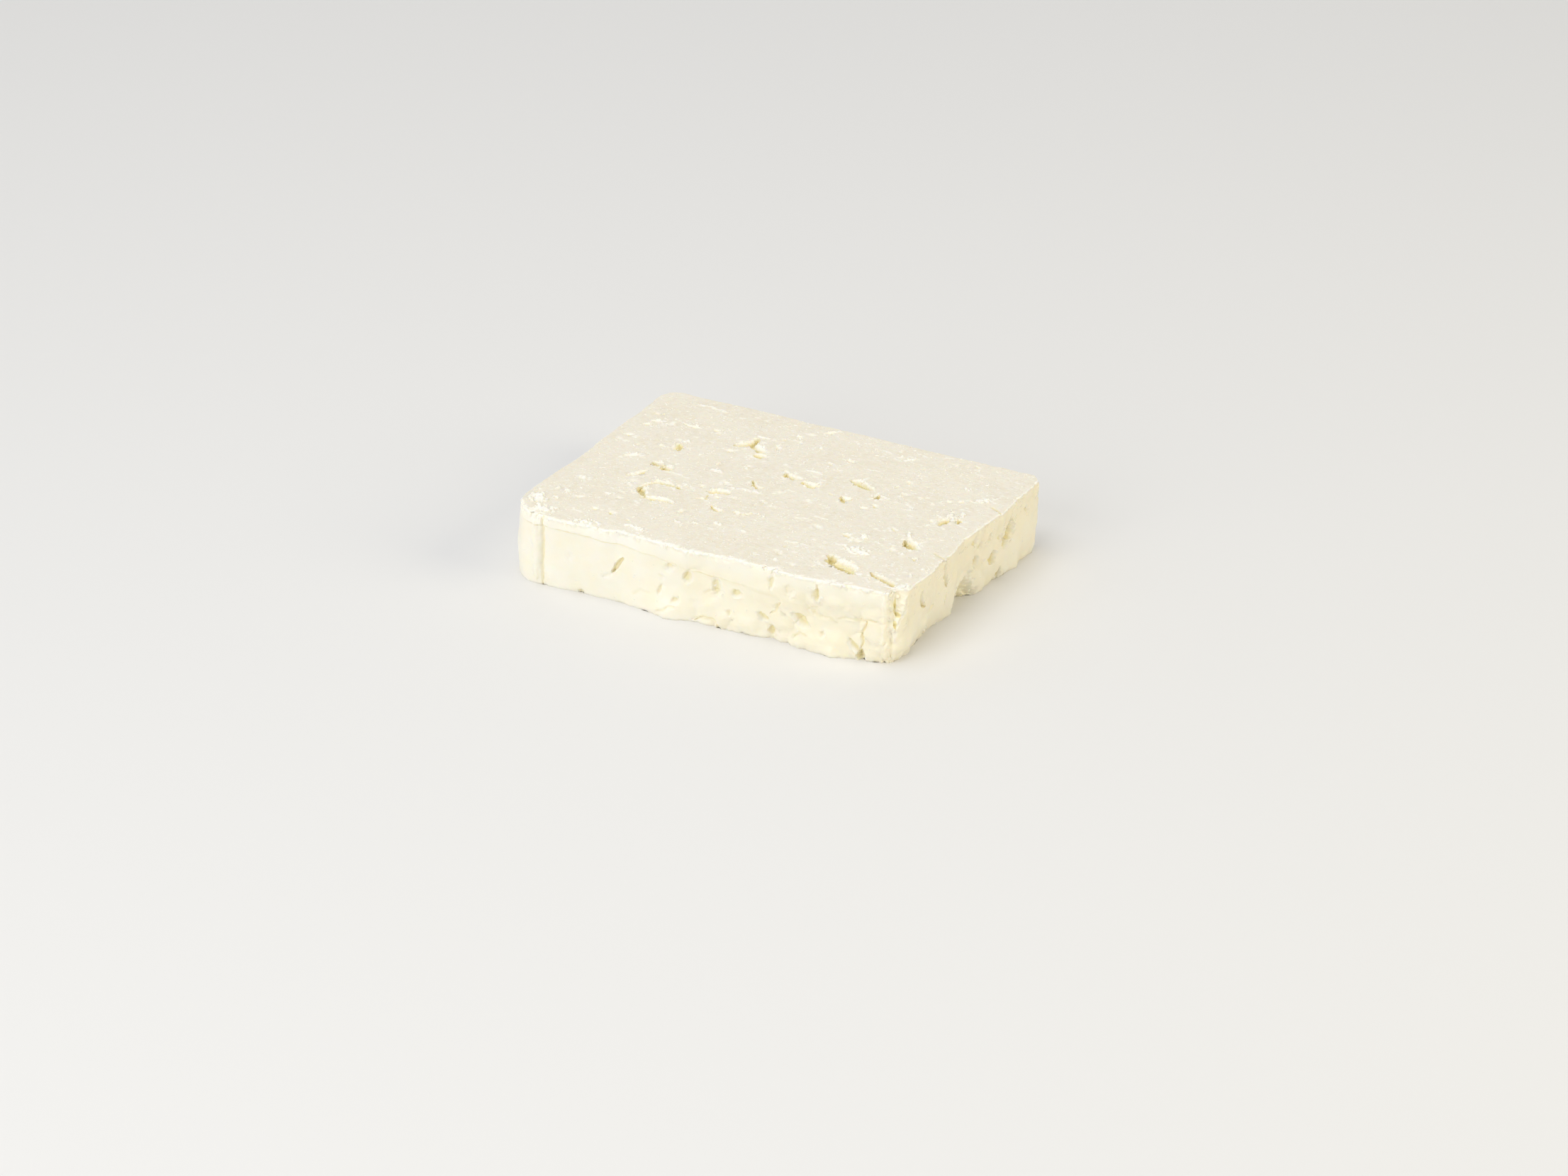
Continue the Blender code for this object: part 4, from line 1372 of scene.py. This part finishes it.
    def shape(self, box_points: Array) -> tuple[Array, Values]:
        """Places the lattice's points on the finished block.

        Args:
            box_points: points of the lattice, one row each.

        Returns:
            The places, and the values that the finish reads, by name.
        """
        form = self.form
        points, outward, inset = form.bare(box_points)
        values = {name: np.zeros(len(points)) for name in self.VALUES}
        self.press_sides(box_points, points, outward, inset, values)
        pale_foot = at_least(self.PALE_FOOT_LEAST, smooth_step(*self.PALE_FOOT, points[:, 2]))
        warm_right = smooth_step(*self.WARM_RIGHT, outward[:, 0]) * pale_foot
        facing_front = smooth_step(*self.WARM_FRONT, -outward[:, 1])
        warm_front = self.FRONT_WARMTH * facing_front * smooth_step(*self.WARM_ALONG, points[:, 0])
        values["warm"] = np.maximum(warm_right, warm_front)
        on_top = box_points[:, 2] > form.height - form.top_round
        self.press_top(on_top, points, inset, values)
        self.crumble_edge(box_points, points, outward, inset, values)
        low, high = (form.height - drop for drop in self.SIDE_COLOUR_DROP)
        values["side"] = 1.0 - smooth_step(low, high, points[:, 2])
        patches = smooth_step(*self.FLECK_RAMP, self.FLECK_PATCHES.at(points[on_top]))
        flecks = self.FLECKS_LEAST + self.FLECKS_IN_PATCH * patches
        values["flecks"][on_top] = flecks + self.FLECKS_ON_TORN * values["white_and_highlight"][on_top]
        values["flecks"][~on_top | (inset < self.FLECK_EDGE)] = self.FLECKS_ON_SIDE
        values["flecks"][box_points[:, 2] < self.FLECK_FOOT] = 0.0
        points[:, 2] = np.where(box_points[:, 2] < ON_PLANE, 0.0, np.maximum(points[:, 2], 0.0))
        return points - np.array(form.plan_middle), values

    def press_sides(
        self, box_points: Array, points: Array, outward: Array, inset: Array, values: Values
    ) -> None:
        """Gives the four sides their relief, which fades out over the top and the underside.

        Args:
            box_points: points of the lattice, one row each.
            points: their places, which are changed.
            outward: the outward direction of the nearest side at each.
            inset: how far in from that side each lies.
            values: the values that the finish reads, which are changed.
        """
        form = self.form
        high = box_points[:, 2] > form.height / 2
        top_fade = smooth_step(form.side_fade, 0.0, inset)
        fade = np.where(high, top_fade, smooth_step(form.base_fade, 0.0, inset))
        near_side = fade > 0.0
        side = self.side_relief(points[near_side], outward[near_side])
        push = fade[near_side] * side.sink
        on_wall = (inset[near_side] < form.top_round) & (box_points[near_side, 2] > ON_PLANE)
        points[near_side] -= outward[near_side] * push[:, None]
        # Painted shade and partly painted highlight of the sides' marks, on the walls only
        values["ochre_shade"][near_side] = side.ochre_shade * on_wall
        values["white_and_highlight"][near_side] = side.white_and_highlight * on_wall

    def press_top(self, on_top: Array, points: Array, inset: Array, values: Values) -> None:
        """Gives the cut face its tears and its soft waves.

        Args:
            on_top: True for each point of the cut face.
            points: the places of all points, which are changed.
            inset: how far in from the nearest side each lies.
            values: the values that the finish reads, which are changed.
        """
        form = self.form
        top = self.cut_face.relief(points[on_top])
        points[on_top, 2] -= top.sink
        points[on_top, 2] += form.top_wave_height * noise_at(points[on_top], form.wave_length)
        flat = smooth_step(0.0, form.top_round, inset[on_top])
        # Painted shade and partly painted highlight of the cut face's marks
        values["ochre_shade"][on_top] = np.maximum(values["ochre_shade"][on_top], top.ochre_shade * flat)
        values["white_and_highlight"][on_top] = np.maximum(values["white_and_highlight"][on_top], top.white_and_highlight * flat)

    def crumble_edge(
        self, box_points: Array, points: Array, outward: Array, inset: Array, values: Values
    ) -> None:
        """Makes the cut edge crumbly and white, most of all along the front.

        Args:
            box_points: points of the lattice, one row each.
            points: their places, which are changed.
            outward: the outward direction of the nearest side at each.
            inset: how far in from that side each lies.
            values: the values that the finish reads, which are changed.
        """
        form = self.form
        from_edge = np.hypot(inset, form.height - box_points[:, 2])
        crumbly = smooth_step(form.edge_reach, self.EDGE_START, from_edge)
        near_edge = crumbly > 0.0
        places = points[near_edge]
        chips = chips_at(places, *self.EDGE_GRAINS)
        crumbs = waves_at(self.EDGE_WAVES, places) + self.EDGE_CHIPS * chips
        patchy = smooth_step(*self.EDGE_PATCH_RAMP, self.EDGE_PATCHES.at(places))
        fronting = smooth_step(*self.EDGE_FACING, -outward[near_edge, 1])
        crumbs *= at_least(self.EDGE_AWAY_LEAST, fronting) * at_least(self.EDGE_PATCH_LEAST, patchy)
        way = outward[near_edge] * self.EDGE_OUT + np.array([0.0, 0.0, self.EDGE_UP])
        points[near_edge] += (crumbly[near_edge] * crumbs)[:, None] * way
        even, by_patch, by_chip, by_crumb = self.EDGE_WHITE_SHARES
        reach = even + by_patch * patchy + by_chip * chips + by_crumb * crumbs
        reach = self.EDGE_WHITE_REACH + fronting * reach
        blur = self.EDGE_WHITE_BLUR
        white = self.EDGE_WHITE * smooth_step(blur, -blur, from_edge[near_edge] - reach)
        values["white_and_highlight"][near_edge] = np.maximum(values["white_and_highlight"][near_edge], white)

    def build(self) -> bpy.types.Object:
        """Makes the block's mesh and object.

        Returns:
            The object, in metres, at the origin.
        """
        points, faces = self.lattice()
        data = bpy.data.meshes.new("curd_block")
        data.from_pydata(points.tolist(), [], faces)
        mesh = bmesh.new()
        mesh.from_mesh(data)
        rim = [edge for edge in mesh.edges if edge.is_boundary]
        bmesh.ops.holes_fill(mesh, edges=rim, sides=0)
        self.refine(mesh)
        mesh.verts.ensure_lookup_table()
        box_points = np.array([vert.co for vert in mesh.verts])
        placed, values = self.shape(box_points)
        for vert, place in zip(mesh.verts, placed * MILLIMETRE):
            vert.co = place
        mesh.to_mesh(data)
        mesh.free()
        for name, value in values.items():
            attribute = data.attributes.new(name, "FLOAT", "POINT")
            attribute.data.foreach_set("value", value.astype(np.float32))
        data.shade_smooth()
        data.set_sharp_from_angle(angle=math.radians(self.crisp_angle))
        block = bpy.data.objects.new("curd_block", data)
        bpy.context.scene.collection.objects.link(block)
        return block


@dataclass(frozen=True)
class Pattern:
    """A noise pattern that is mapped to a range of values.

    Attributes:
        size: size of its waves.
        detail: how many finer layers it has.
        low: the noise at which its value starts to change.
        high: the noise past which it stays.
        start: its value at low.
        end: its value at high.
        stretch: how many times longer it is along x.
    """

    size: float
    detail: float
    low: float = 0.0
    high: float = 1.0
    start: float = 0.0
    end: float = 1.0
    stretch: float = 1.0


class NodeSheet:
    """A material's node tree, with short ways to add and join nodes."""

    # A Mix node's colour sockets, which share their names with its number sockets
    MIX_FIRST = 6
    MIX_SECOND = 7
    MIX_RESULT = 2

    def __init__(self, name: str) -> None:
        """Starts the sheet of a new material.

        Args:
            name: the material's name.
        """
        self.material = bpy.data.materials.new(name)
        self.material.use_nodes = True
        self.nodes = self.material.node_tree.nodes
        self.links = self.material.node_tree.links
        self.shader = self.nodes["Principled BSDF"]
        coordinates = self.nodes.new("ShaderNodeTexCoord")
        self.place = coordinates.outputs["Object"]

    def join(self, source: bpy.types.NodeSocket, target: bpy.types.NodeSocket) -> None:
        """Links one socket to another."""
        self.links.new(source, target)

    def noise(self, pattern: Pattern) -> bpy.types.NodeSocket:
        """A pattern's plain noise in the object's own space.

        Args:
            pattern: the pattern, whose range isn't used.

        Returns:
            Its value, from 0 to 1.
        """
        mapping = self.nodes.new("ShaderNodeMapping")
        mapping.inputs["Scale"].default_value = (1.0 / pattern.stretch, 1.0, 1.0)
        self.join(self.place, mapping.inputs["Vector"])
        node = self.nodes.new("ShaderNodeTexNoise")
        node.inputs["Scale"].default_value = 1.0 / (pattern.size * MILLIMETRE)
        node.inputs["Detail"].default_value = pattern.detail
        self.join(mapping.outputs["Vector"], node.inputs["Vector"])
        return node.outputs["Fac"]

    def pattern(self, pattern: Pattern) -> bpy.types.NodeSocket:
        """A pattern's value."""
        return self.ramp(self.noise(pattern), pattern.low, pattern.high, pattern.start, pattern.end)

    def attribute(self, name: str) -> bpy.types.NodeSocket:
        """The value that the mesh carries under a name."""
        node = self.nodes.new("ShaderNodeAttribute")
        node.attribute_name = name
        return node.outputs["Fac"]

    def ramp(
        self, value: bpy.types.NodeSocket, low: float, high: float, start: float, end: float
    ) -> bpy.types.NodeSocket:
        """Maps a value's range to another, held at both ends.

        Args:
            value: the value.
            low: where it starts to count.
            high: where it stops.
            start: the result at low.
            end: the result at high.

        Returns:
            The mapped value.
        """
        node = self.nodes.new("ShaderNodeMapRange")
        node.inputs["From Min"].default_value = low
        node.inputs["From Max"].default_value = high
        node.inputs["To Min"].default_value = start
        node.inputs["To Max"].default_value = end
        self.join(value, node.inputs["Value"])
        return node.outputs["Result"]

    def math(
        self, operation: str, first: bpy.types.NodeSocket, second: bpy.types.NodeSocket | float
    ) -> bpy.types.NodeSocket:
        """Joins two values.

        Args:
            operation: the Math node's operation.
            first: a value.
            second: another value, or a number.

        Returns:
            The result.
        """
        node = self.nodes.new("ShaderNodeMath")
        node.operation = operation
        self.join(first, node.inputs[0])
        if isinstance(second, (int, float)):
            node.inputs[1].default_value = second
        else:
            self.join(second, node.inputs[1])
        return node.outputs["Value"]

    def mix(
        self,
        share: bpy.types.NodeSocket,
        first: bpy.types.NodeSocket | Colour,
        second: bpy.types.NodeSocket | Colour,
    ) -> bpy.types.NodeSocket:
        """Mixes two colours.

        Args:
            share: how much of the second shows.
            first: a colour.
            second: another colour.

        Returns:
            The mixed colour.
        """
        node = self.nodes.new("ShaderNodeMix")
        node.data_type = "RGBA"
        self.join(share, node.inputs["Factor"])
        for colour, number in ((first, self.MIX_FIRST), (second, self.MIX_SECOND)):
            if isinstance(colour, tuple):
                node.inputs[number].default_value = colour
            else:
                self.join(colour, node.inputs[number])
        return node.outputs[self.MIX_RESULT]

    def bump(self, height: bpy.types.NodeSocket, distance: float, strength: float) -> None:
        """Gives the shader fine relief.

        Args:
            height: the relief's pattern, from 0 to 1.
            distance: its height.
            strength: how much of it shows.
        """
        node = self.nodes.new("ShaderNodeBump")
        node.inputs["Distance"].default_value = distance * MILLIMETRE
        node.inputs["Strength"].default_value = strength
        self.join(height, node.inputs["Height"])
        self.join(node.outputs["Normal"], self.shader.inputs["Normal"])


@dataclass(frozen=True)
class CurdFinish:
    """Finish of the block: dry and greyish where cut, moist and yellower at the sides.

    Patches, mottle, grains, dull spots and specks vary the cut face, and patches the
    sides too. Painted ochre shade darkens hollows and creases, and painted highlight
    whitens the far walls of tears. Each share tells how much of its colour shows.
    """

    cut: Colour = (0.826, 0.770, 0.640, 1.0)
    cut_dull: Colour = (0.752, 0.690, 0.548, 1.0)
    cut_pale: Colour = (0.884, 0.845, 0.744, 1.0)
    speck: Colour = (0.970, 0.955, 0.880, 1.0)
    moulded: Colour = (0.984, 0.918, 0.752, 1.0)
    moulded_pale: Colour = (0.985, 0.945, 0.820, 1.0)
    warm: Colour = (0.965, 0.860, 0.620, 1.0)
    patches: Pattern = Pattern(8.0, 3.0, 0.38, 0.62)
    patches_share: float = 0.45
    mottle: Pattern = Pattern(1.7, 4.0, 0.38, 0.66, 0.0, 0.7)
    grains: Pattern = Pattern(0.5, 3.0, 0.45, 0.65, 0.0, 0.16)
    dull: Pattern = Pattern(0.7, 2.0, 0.36, 0.29, 0.0, 0.7, 1.8)
    specks: Pattern = Pattern(0.55, 2.0, 0.63, 0.67, 0.0, 1.0, 1.4)
    speck_groups: Pattern = Pattern(4.5, 2.0, 0.40, 0.60, 0.2, 1.0)
    warm_share: float = 0.78
    # White of torn curd, also painted highlight on far walls that face the light
    white_and_highlight: Colour = (0.985, 0.965, 0.880, 1.0)
    white_and_highlight_side_share: float = 0.5
    # Painted shade in hollows and creases: ochre, and darker still where hidden behind a near rim
    ochre_shade: Colour = (0.880, 0.780, 0.410, 1.0)
    dark_shade: Colour = (0.660, 0.565, 0.270, 1.0)
    shade_full: float = 0.6
    shade_share: float = 0.9
    deep_from: float = 0.55
    roughness: Pattern = Pattern(3.0, 2.0, 0.3, 0.7, 0.36, 0.52)
    dry_roughness: float = 0.16
    wet_from: float = 0.3
    wet_roughness: float = -0.12
    streaks: Pattern = Pattern(0.6, 3.0, stretch=2.5)
    grain: Pattern = Pattern(0.9, 5.0)
    side_grain: float = 0.3
    grain_height: float = 0.30
    grain_share: float = 0.42
    subsurface: float = 0.3
    subsurface_radius: tuple[float, float, float] = (1.0, 0.75, 0.4)
    subsurface_scale: float = 0.9

    def material(self) -> bpy.types.Material:
        """Makes the material.

        Returns:
            The material.
        """
        sheet = NodeSheet("curd")
        side = sheet.attribute("side")
        patches = sheet.pattern(self.patches)
        groups = sheet.pattern(self.speck_groups)
        specks = sheet.math("MULTIPLY", sheet.pattern(self.specks), groups)
        pale = sheet.math("MULTIPLY", patches, self.patches_share)
        cut = sheet.mix(pale, self.cut, self.cut_pale)
        cut = sheet.mix(sheet.pattern(self.mottle), cut, self.cut_pale)
        cut = sheet.mix(sheet.pattern(self.grains), cut, self.cut_dull)
        cut = sheet.mix(sheet.pattern(self.dull), cut, self.cut_dull)
        cut = sheet.mix(specks, cut, self.speck)
        moulded = sheet.mix(patches, self.moulded, self.moulded_pale)
        warm = sheet.attribute("warm")
        moulded = sheet.mix(sheet.math("MULTIPLY", warm, self.warm_share), moulded, self.warm)
        # White of torn curd and painted highlight, paler on the sides
        white_and_highlight_share = sheet.ramp(side, 0.0, 1.0, 0.0, self.white_and_highlight_side_share)
        white_and_highlight = sheet.mix(white_and_highlight_share, self.white_and_highlight, moulded)
        colour = sheet.mix(side, cut, moulded)
        colour = sheet.mix(sheet.attribute("white_and_highlight"), colour, white_and_highlight)
        # Painted shade: ochre, then darker, where hollows and creases are deep
        shade_weight = sheet.attribute("ochre_shade")
        shade_mix = sheet.ramp(shade_weight, 0.0, self.shade_full, 0.0, self.shade_share)
        colour = sheet.mix(shade_mix, colour, self.ochre_shade)
        deep = sheet.ramp(shade_weight, self.deep_from, 1.0, 0.0, 1.0)
        colour = sheet.mix(deep, colour, self.dark_shade)
        sheet.join(colour, sheet.shader.inputs["Base Color"])
        dry = sheet.ramp(side, 0.0, 1.0, self.dry_roughness, 0.0)
        wet = sheet.ramp(warm, self.wet_from, 1.0, 0.0, self.wet_roughness)
        roughness = sheet.math("ADD", sheet.math("ADD", sheet.pattern(self.roughness), dry), wet)
        sheet.join(roughness, sheet.shader.inputs["Roughness"])
        grain = sheet.math("ADD", sheet.noise(self.streaks), sheet.noise(self.grain))
        grain = sheet.math("MULTIPLY", grain, sheet.ramp(side, 0.0, 1.0, 1.0, self.side_grain))
        sheet.bump(grain, self.grain_height, self.grain_share)
        sheet.shader.inputs["Subsurface Weight"].default_value = self.subsurface
        sheet.shader.inputs["Subsurface Radius"].default_value = self.subsurface_radius
        sheet.shader.inputs["Subsurface Scale"].default_value = self.subsurface_scale * MILLIMETRE
        return sheet.material


@dataclass(frozen=True)
class CrumbFinish:
    """Finish of the loose flecks: white, dry curd."""

    white: Colour = (0.965, 0.945, 0.860, 1.0)
    cream: Colour = (0.920, 0.880, 0.760, 1.0)
    tone: Pattern = Pattern(2.5, 1.0, 0.4, 0.6)
    grain: Pattern = Pattern(0.25, 2.0)
    grain_height: float = 0.05
    grain_share: float = 0.4
    roughness: float = 0.6

    def material(self) -> bpy.types.Material:
        """Makes the material.

        Returns:
            The material.
        """
        sheet = NodeSheet("crumb")
        colour = sheet.mix(sheet.pattern(self.tone), self.white, self.cream)
        sheet.join(colour, sheet.shader.inputs["Base Color"])
        sheet.shader.inputs["Roughness"].default_value = self.roughness
        sheet.bump(sheet.noise(self.grain), self.grain_height, self.grain_share)
        return sheet.material


@dataclass(frozen=True)
class FloorFinish:
    """Finish of the studio floor."""

    colour: Colour = (0.80, 0.80, 0.80, 1.0)
    roughness: float = 0.7

    def material(self) -> bpy.types.Material:
        """Makes the material."""
        sheet = NodeSheet("studio_floor")
        sheet.shader.inputs["Base Color"].default_value = self.colour
        sheet.shader.inputs["Roughness"].default_value = self.roughness
        return sheet.material


class GeometrySheet:
    """A Geometry Nodes tree, with a short way to add nodes."""

    def __init__(self, name: str, inputs: dict[str, str], result: str) -> None:
        """Starts a new tree.

        Args:
            name: the tree's name.
            inputs: the kind of each of its inputs, by the input's name.
            result: name of the geometry that it gives.
        """
        self.tree = bpy.data.node_groups.new(name, "GeometryNodeTree")
        for label, kind in inputs.items():
            self.tree.interface.new_socket(label, in_out="INPUT", socket_type=kind)
        self.tree.interface.new_socket(result, in_out="OUTPUT", socket_type="NodeSocketGeometry")
        self.given = self.tree.nodes.new("NodeGroupInput").outputs

    def add(self, kind: str, inputs: dict[str | int, object], **settings: str) -> bpy.types.Node:
        """Adds a node.

        Args:
            kind: the node's type.
            inputs: a socket to link or a value for each input, by its name or number.
            settings: the node's own settings.

        Returns:
            The node.
        """
        node = self.tree.nodes.new(kind)
        for name, value in settings.items():
            setattr(node, name, value)
        for key, value in inputs.items():
            if isinstance(value, bpy.types.NodeSocket):
                self.tree.links.new(value, node.inputs[key])
            else:
                node.inputs[key].default_value = value
        return node

    def finish(self, geometry: bpy.types.NodeSocket) -> bpy.types.GeometryNodeTree:
        """Makes a geometry the tree's result and gives the tree."""
        end = self.tree.nodes.new("NodeGroupOutput")
        self.tree.links.new(geometry, end.inputs[0])
        return self.tree


@dataclass
class CurdFlecks:
    """Loose flecks of curd that cling to the block, scattered by Geometry Nodes.

    Attributes:
        name: name of the piece.
        per_area: how many there are for each square centimetre of cut face.
        smallest: half size of the smallest along each axis.
        largest: half size of the largest along each axis.
        seed: number that fixes the draw.
        spin: how far a fleck may be turned about the normal, in degrees.
    """

    name: str
    per_area: float
    smallest: tuple[float, float, float]
    largest: tuple[float, float, float]
    seed: int
    spin: float = 180.0

    INPUTS = {
        "Block": "NodeSocketGeometry",
        "Density": "NodeSocketFloat",
        "Smallest": "NodeSocketVector",
        "Largest": "NodeSocketVector",
        "Spin": "NodeSocketFloat",
        "Seed": "NodeSocketInt",
    }
    # Flecks are bent out of shape by noise of this size, this far
    BEND_SIZE = 0.45
    BEND_REACH = 0.55
    NOISE_MIDDLE = 0.5
    PER_SQUARE_METRE = 1e4

    def tree(self, material: bpy.types.Material) -> bpy.types.GeometryNodeTree:
        """Builds the node tree.

        Args:
            material: the flecks' material.

        Returns:
            The tree, with its sizes as named inputs.
        """
        sheet = GeometrySheet(self.name, self.INPUTS, "Flecks")
        given = sheet.given
        where = sheet.add("GeometryNodeInputNamedAttribute", {"Name": "flecks"}, data_type="FLOAT")
        density = sheet.add(
            "ShaderNodeMath",
            {0: given["Density"], 1: where.outputs["Attribute"]},
            operation="MULTIPLY",
        )
        scatter = sheet.add(
            "GeometryNodeDistributePointsOnFaces",
            {"Mesh": given["Block"], "Density": density.outputs["Value"], "Seed": given["Seed"]},
        )
        ball = sheet.add("GeometryNodeMeshIcoSphere", {"Radius": 1.0, "Subdivisions": 1})
        size = sheet.add(
            "FunctionNodeRandomValue",
            {0: given["Smallest"], 1: given["Largest"], "Seed": given["Seed"]},
            data_type="FLOAT_VECTOR",
        )
        opposite = sheet.add("ShaderNodeMath", {0: given["Spin"], 1: -1.0}, operation="MULTIPLY")
        turn = sheet.add(
            "FunctionNodeRandomValue",
            {2: opposite.outputs["Value"], 3: given["Spin"], "Seed": given["Seed"]},
            data_type="FLOAT",
        )
        about_z = sheet.add("ShaderNodeCombineXYZ", {"Z": turn.outputs[1]})
        spin = sheet.add("FunctionNodeEulerToRotation", {"Euler": about_z.outputs["Vector"]})
        way = sheet.add(
            "FunctionNodeRotateRotation",
            {"Rotation": scatter.outputs["Rotation"], "Rotate By": spin.outputs["Rotation"]},
            rotation_space="LOCAL",
        )
        place = sheet.add(
            "GeometryNodeInstanceOnPoints",
            {
                "Points": scatter.outputs["Points"],
                "Instance": ball.outputs["Mesh"],
                "Rotation": way.outputs["Rotation"],
                "Scale": size.outputs[0],
            },
        )
        real = sheet.add("GeometryNodeRealizeInstances", {"Geometry": place.outputs["Instances"]})
        pattern = sheet.add("ShaderNodeTexNoise", {"Scale": 1.0 / (self.BEND_SIZE * MILLIMETRE)})
        centred = sheet.add(
            "ShaderNodeVectorMath",
            {0: pattern.outputs["Color"], 1: (self.NOISE_MIDDLE,) * 3},
            operation="SUBTRACT",
        )
        bent = sheet.add(
            "ShaderNodeVectorMath",
            {0: centred.outputs["Vector"], "Scale": self.BEND_REACH * MILLIMETRE},
            operation="SCALE",
        )
        moved = sheet.add(
            "GeometryNodeSetPosition",
            {"Geometry": real.outputs["Geometry"], "Offset": bent.outputs["Vector"]},
        )
        dressed = sheet.add(
            "GeometryNodeSetMaterial",
            {"Geometry": moved.outputs["Geometry"], "Material": material},
        )
        return sheet.finish(dressed.outputs["Geometry"])

    def build(self, block: bpy.types.Object, material: bpy.types.Material) -> bpy.types.Object:
        """Scatters the flecks over the block.

        Args:
            block: the block's object.
            material: the flecks' material.

        Returns:
            The flecks as one plain mesh.
        """
        tree = self.tree(material)
        holder = bpy.data.objects.new("fleck_holder", block.data.copy())
        bpy.context.scene.collection.objects.link(holder)
        modifier = holder.modifiers.new(self.name, "NODES")
        modifier.node_group = tree
        values = {
            "Density": self.per_area * self.PER_SQUARE_METRE,
            "Smallest": [size * MILLIMETRE for size in self.smallest],
            "Largest": [size * MILLIMETRE for size in self.largest],
            "Spin": math.radians(self.spin),
            "Seed": self.seed,
        }
        for item in tree.interface.items_tree:
            if item.name in values:
                modifier[item.identifier] = values[item.name]
        graph = bpy.context.evaluated_depsgraph_get()
        data = bpy.data.meshes.new_from_object(holder.evaluated_get(graph))
        data.name = self.name
        holder.modifiers.remove(modifier)
        bpy.data.objects.remove(holder)
        flecks = bpy.data.objects.new(self.name, data)
        bpy.context.scene.collection.objects.link(flecks)
        return flecks


@dataclass(frozen=True)
class SoftLight:
    """A square studio light that looks at the block.

    Attributes:
        name: its name.
        azimuth: where it stands, in degrees from the front towards the right.
        elevation: its height above the floor, in degrees.
        distance: how far it stands from the block, in metres.
        size: its side, in metres.
        power: its power, in watts.
        colour: its colour.
    """

    name: str
    azimuth: float
    elevation: float
    distance: float
    size: float
    power: float
    colour: tuple[float, float, float]

    def build(self) -> bpy.types.Object:
        """Puts the light in its place."""
        data = bpy.data.lights.new(self.name, "AREA")
        data.size = self.size
        data.energy = self.power
        data.color = self.colour
        light = bpy.data.objects.new(self.name, data)
        turn = math.radians(self.azimuth)
        rise = math.radians(self.elevation)
        light.location = self.distance * Vector(
            (math.sin(turn) * math.cos(rise), -math.cos(turn) * math.cos(rise), math.sin(rise))
        )
        light.rotation_euler = (-light.location).to_track_quat("-Z", "Y").to_euler()
        bpy.context.scene.collection.objects.link(light)
        return light


@dataclass
class Studio:
    """Floor, lights, world and camera."""

    floor_size: float = 8.0
    world_colour: Colour = (1.0, 1.0, 1.0, 1.0)
    world_strength: float = 0.35
    camera_place: tuple[float, float, float] = (0.53462, -1.0252, 0.5684)
    camera_pitch: float = 63.5
    camera_turn: float = 27.447
    focal_pixels: float = 7000.0
    frame_pixels: float = 2212.0
    sensor_width: float = 36.0
    floor: FloorFinish = field(default_factory=FloorFinish)
    lights: tuple[SoftLight, ...] = (
        SoftLight("key", -12.0, 24.0, 1.3, 0.9, 6.5, (1.0, 0.995, 0.98)),
        SoftLight("top", -20.0, 75.0, 1.3, 0.9, 6.4, (1.0, 1.0, 1.0)),
        SoftLight("fill", 95.0, 28.0, 1.3, 0.7, 5.8, (1.0, 0.915, 0.70)),
        SoftLight("back", 200.0, 35.0, 1.4, 1.2, 2.5, (1.0, 1.0, 1.0)),
        SoftLight("left", -85.0, 22.0, 1.3, 1.0, 1.6, (1.0, 0.99, 0.94)),
    )

    def build(self) -> None:
        """Makes all of it and sets the scene's camera."""
        scene = bpy.context.scene
        half = self.floor_size / 2
        corners = ((-half, -half, 0.0), (half, -half, 0.0), (half, half, 0.0), (-half, half, 0.0))
        data = bpy.data.meshes.new("studio_floor")
        data.from_pydata(corners, [], [(0, 1, 2, 3)])
        data.materials.append(self.floor.material())
        ground = bpy.data.objects.new("studio_floor", data)
        scene.collection.objects.link(ground)
        for light in self.lights:
            light.build()
        world = bpy.data.worlds.new("studio_world")
        world.use_nodes = True
        sky = world.node_tree.nodes["Background"]
        sky.inputs["Color"].default_value = self.world_colour
        sky.inputs["Strength"].default_value = self.world_strength
        scene.world = world
        lens = bpy.data.cameras.new("camera")
        lens.sensor_width = self.sensor_width
        lens.lens = self.focal_pixels / self.frame_pixels * self.sensor_width
        camera = bpy.data.objects.new("camera", lens)
        camera.location = self.camera_place
        pitch, turn = math.radians(self.camera_pitch), math.radians(self.camera_turn)
        camera.rotation_euler = (pitch, 0.0, turn)
        scene.collection.objects.link(camera)
        scene.camera = camera
        scene.view_settings.view_transform = "Standard"


def triangle_count(piece: bpy.types.Object) -> int:
    """How many triangles a piece has."""
    piece.data.calc_loop_triangles()
    return len(piece.data.loop_triangles)


def main() -> None:
    """Builds the block, its loose flecks and the studio, and reports each piece."""
    logging.basicConfig(level=logging.INFO, format="%(name)s: %(message)s")
    noise.seed_set(NOISE_SEED)
    curd = CurdFinish().material()
    block = FetaBlock().build()
    block.data.materials.append(curd)
    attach(block, BODY)
    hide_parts(NODE)
    LOG.info("curd_block: %d triangles", triangle_count(block))
    crumb = CrumbFinish().material()
    for flecks in (
        CurdFlecks("curd_specks", 26.0, (0.08, 0.07, 0.06), (0.30, 0.23, 0.17), 4),
        CurdFlecks("curd_shards", 2.6, (0.26, 0.12, 0.09), (0.75, 0.28, 0.20), 9),
    ):
        piece = flecks.build(block, crumb)
        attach(piece, BODY)
        LOG.info("%s: %d triangles", piece.name, triangle_count(piece))
    Studio().build()


if __name__ == "__main__":
    main()
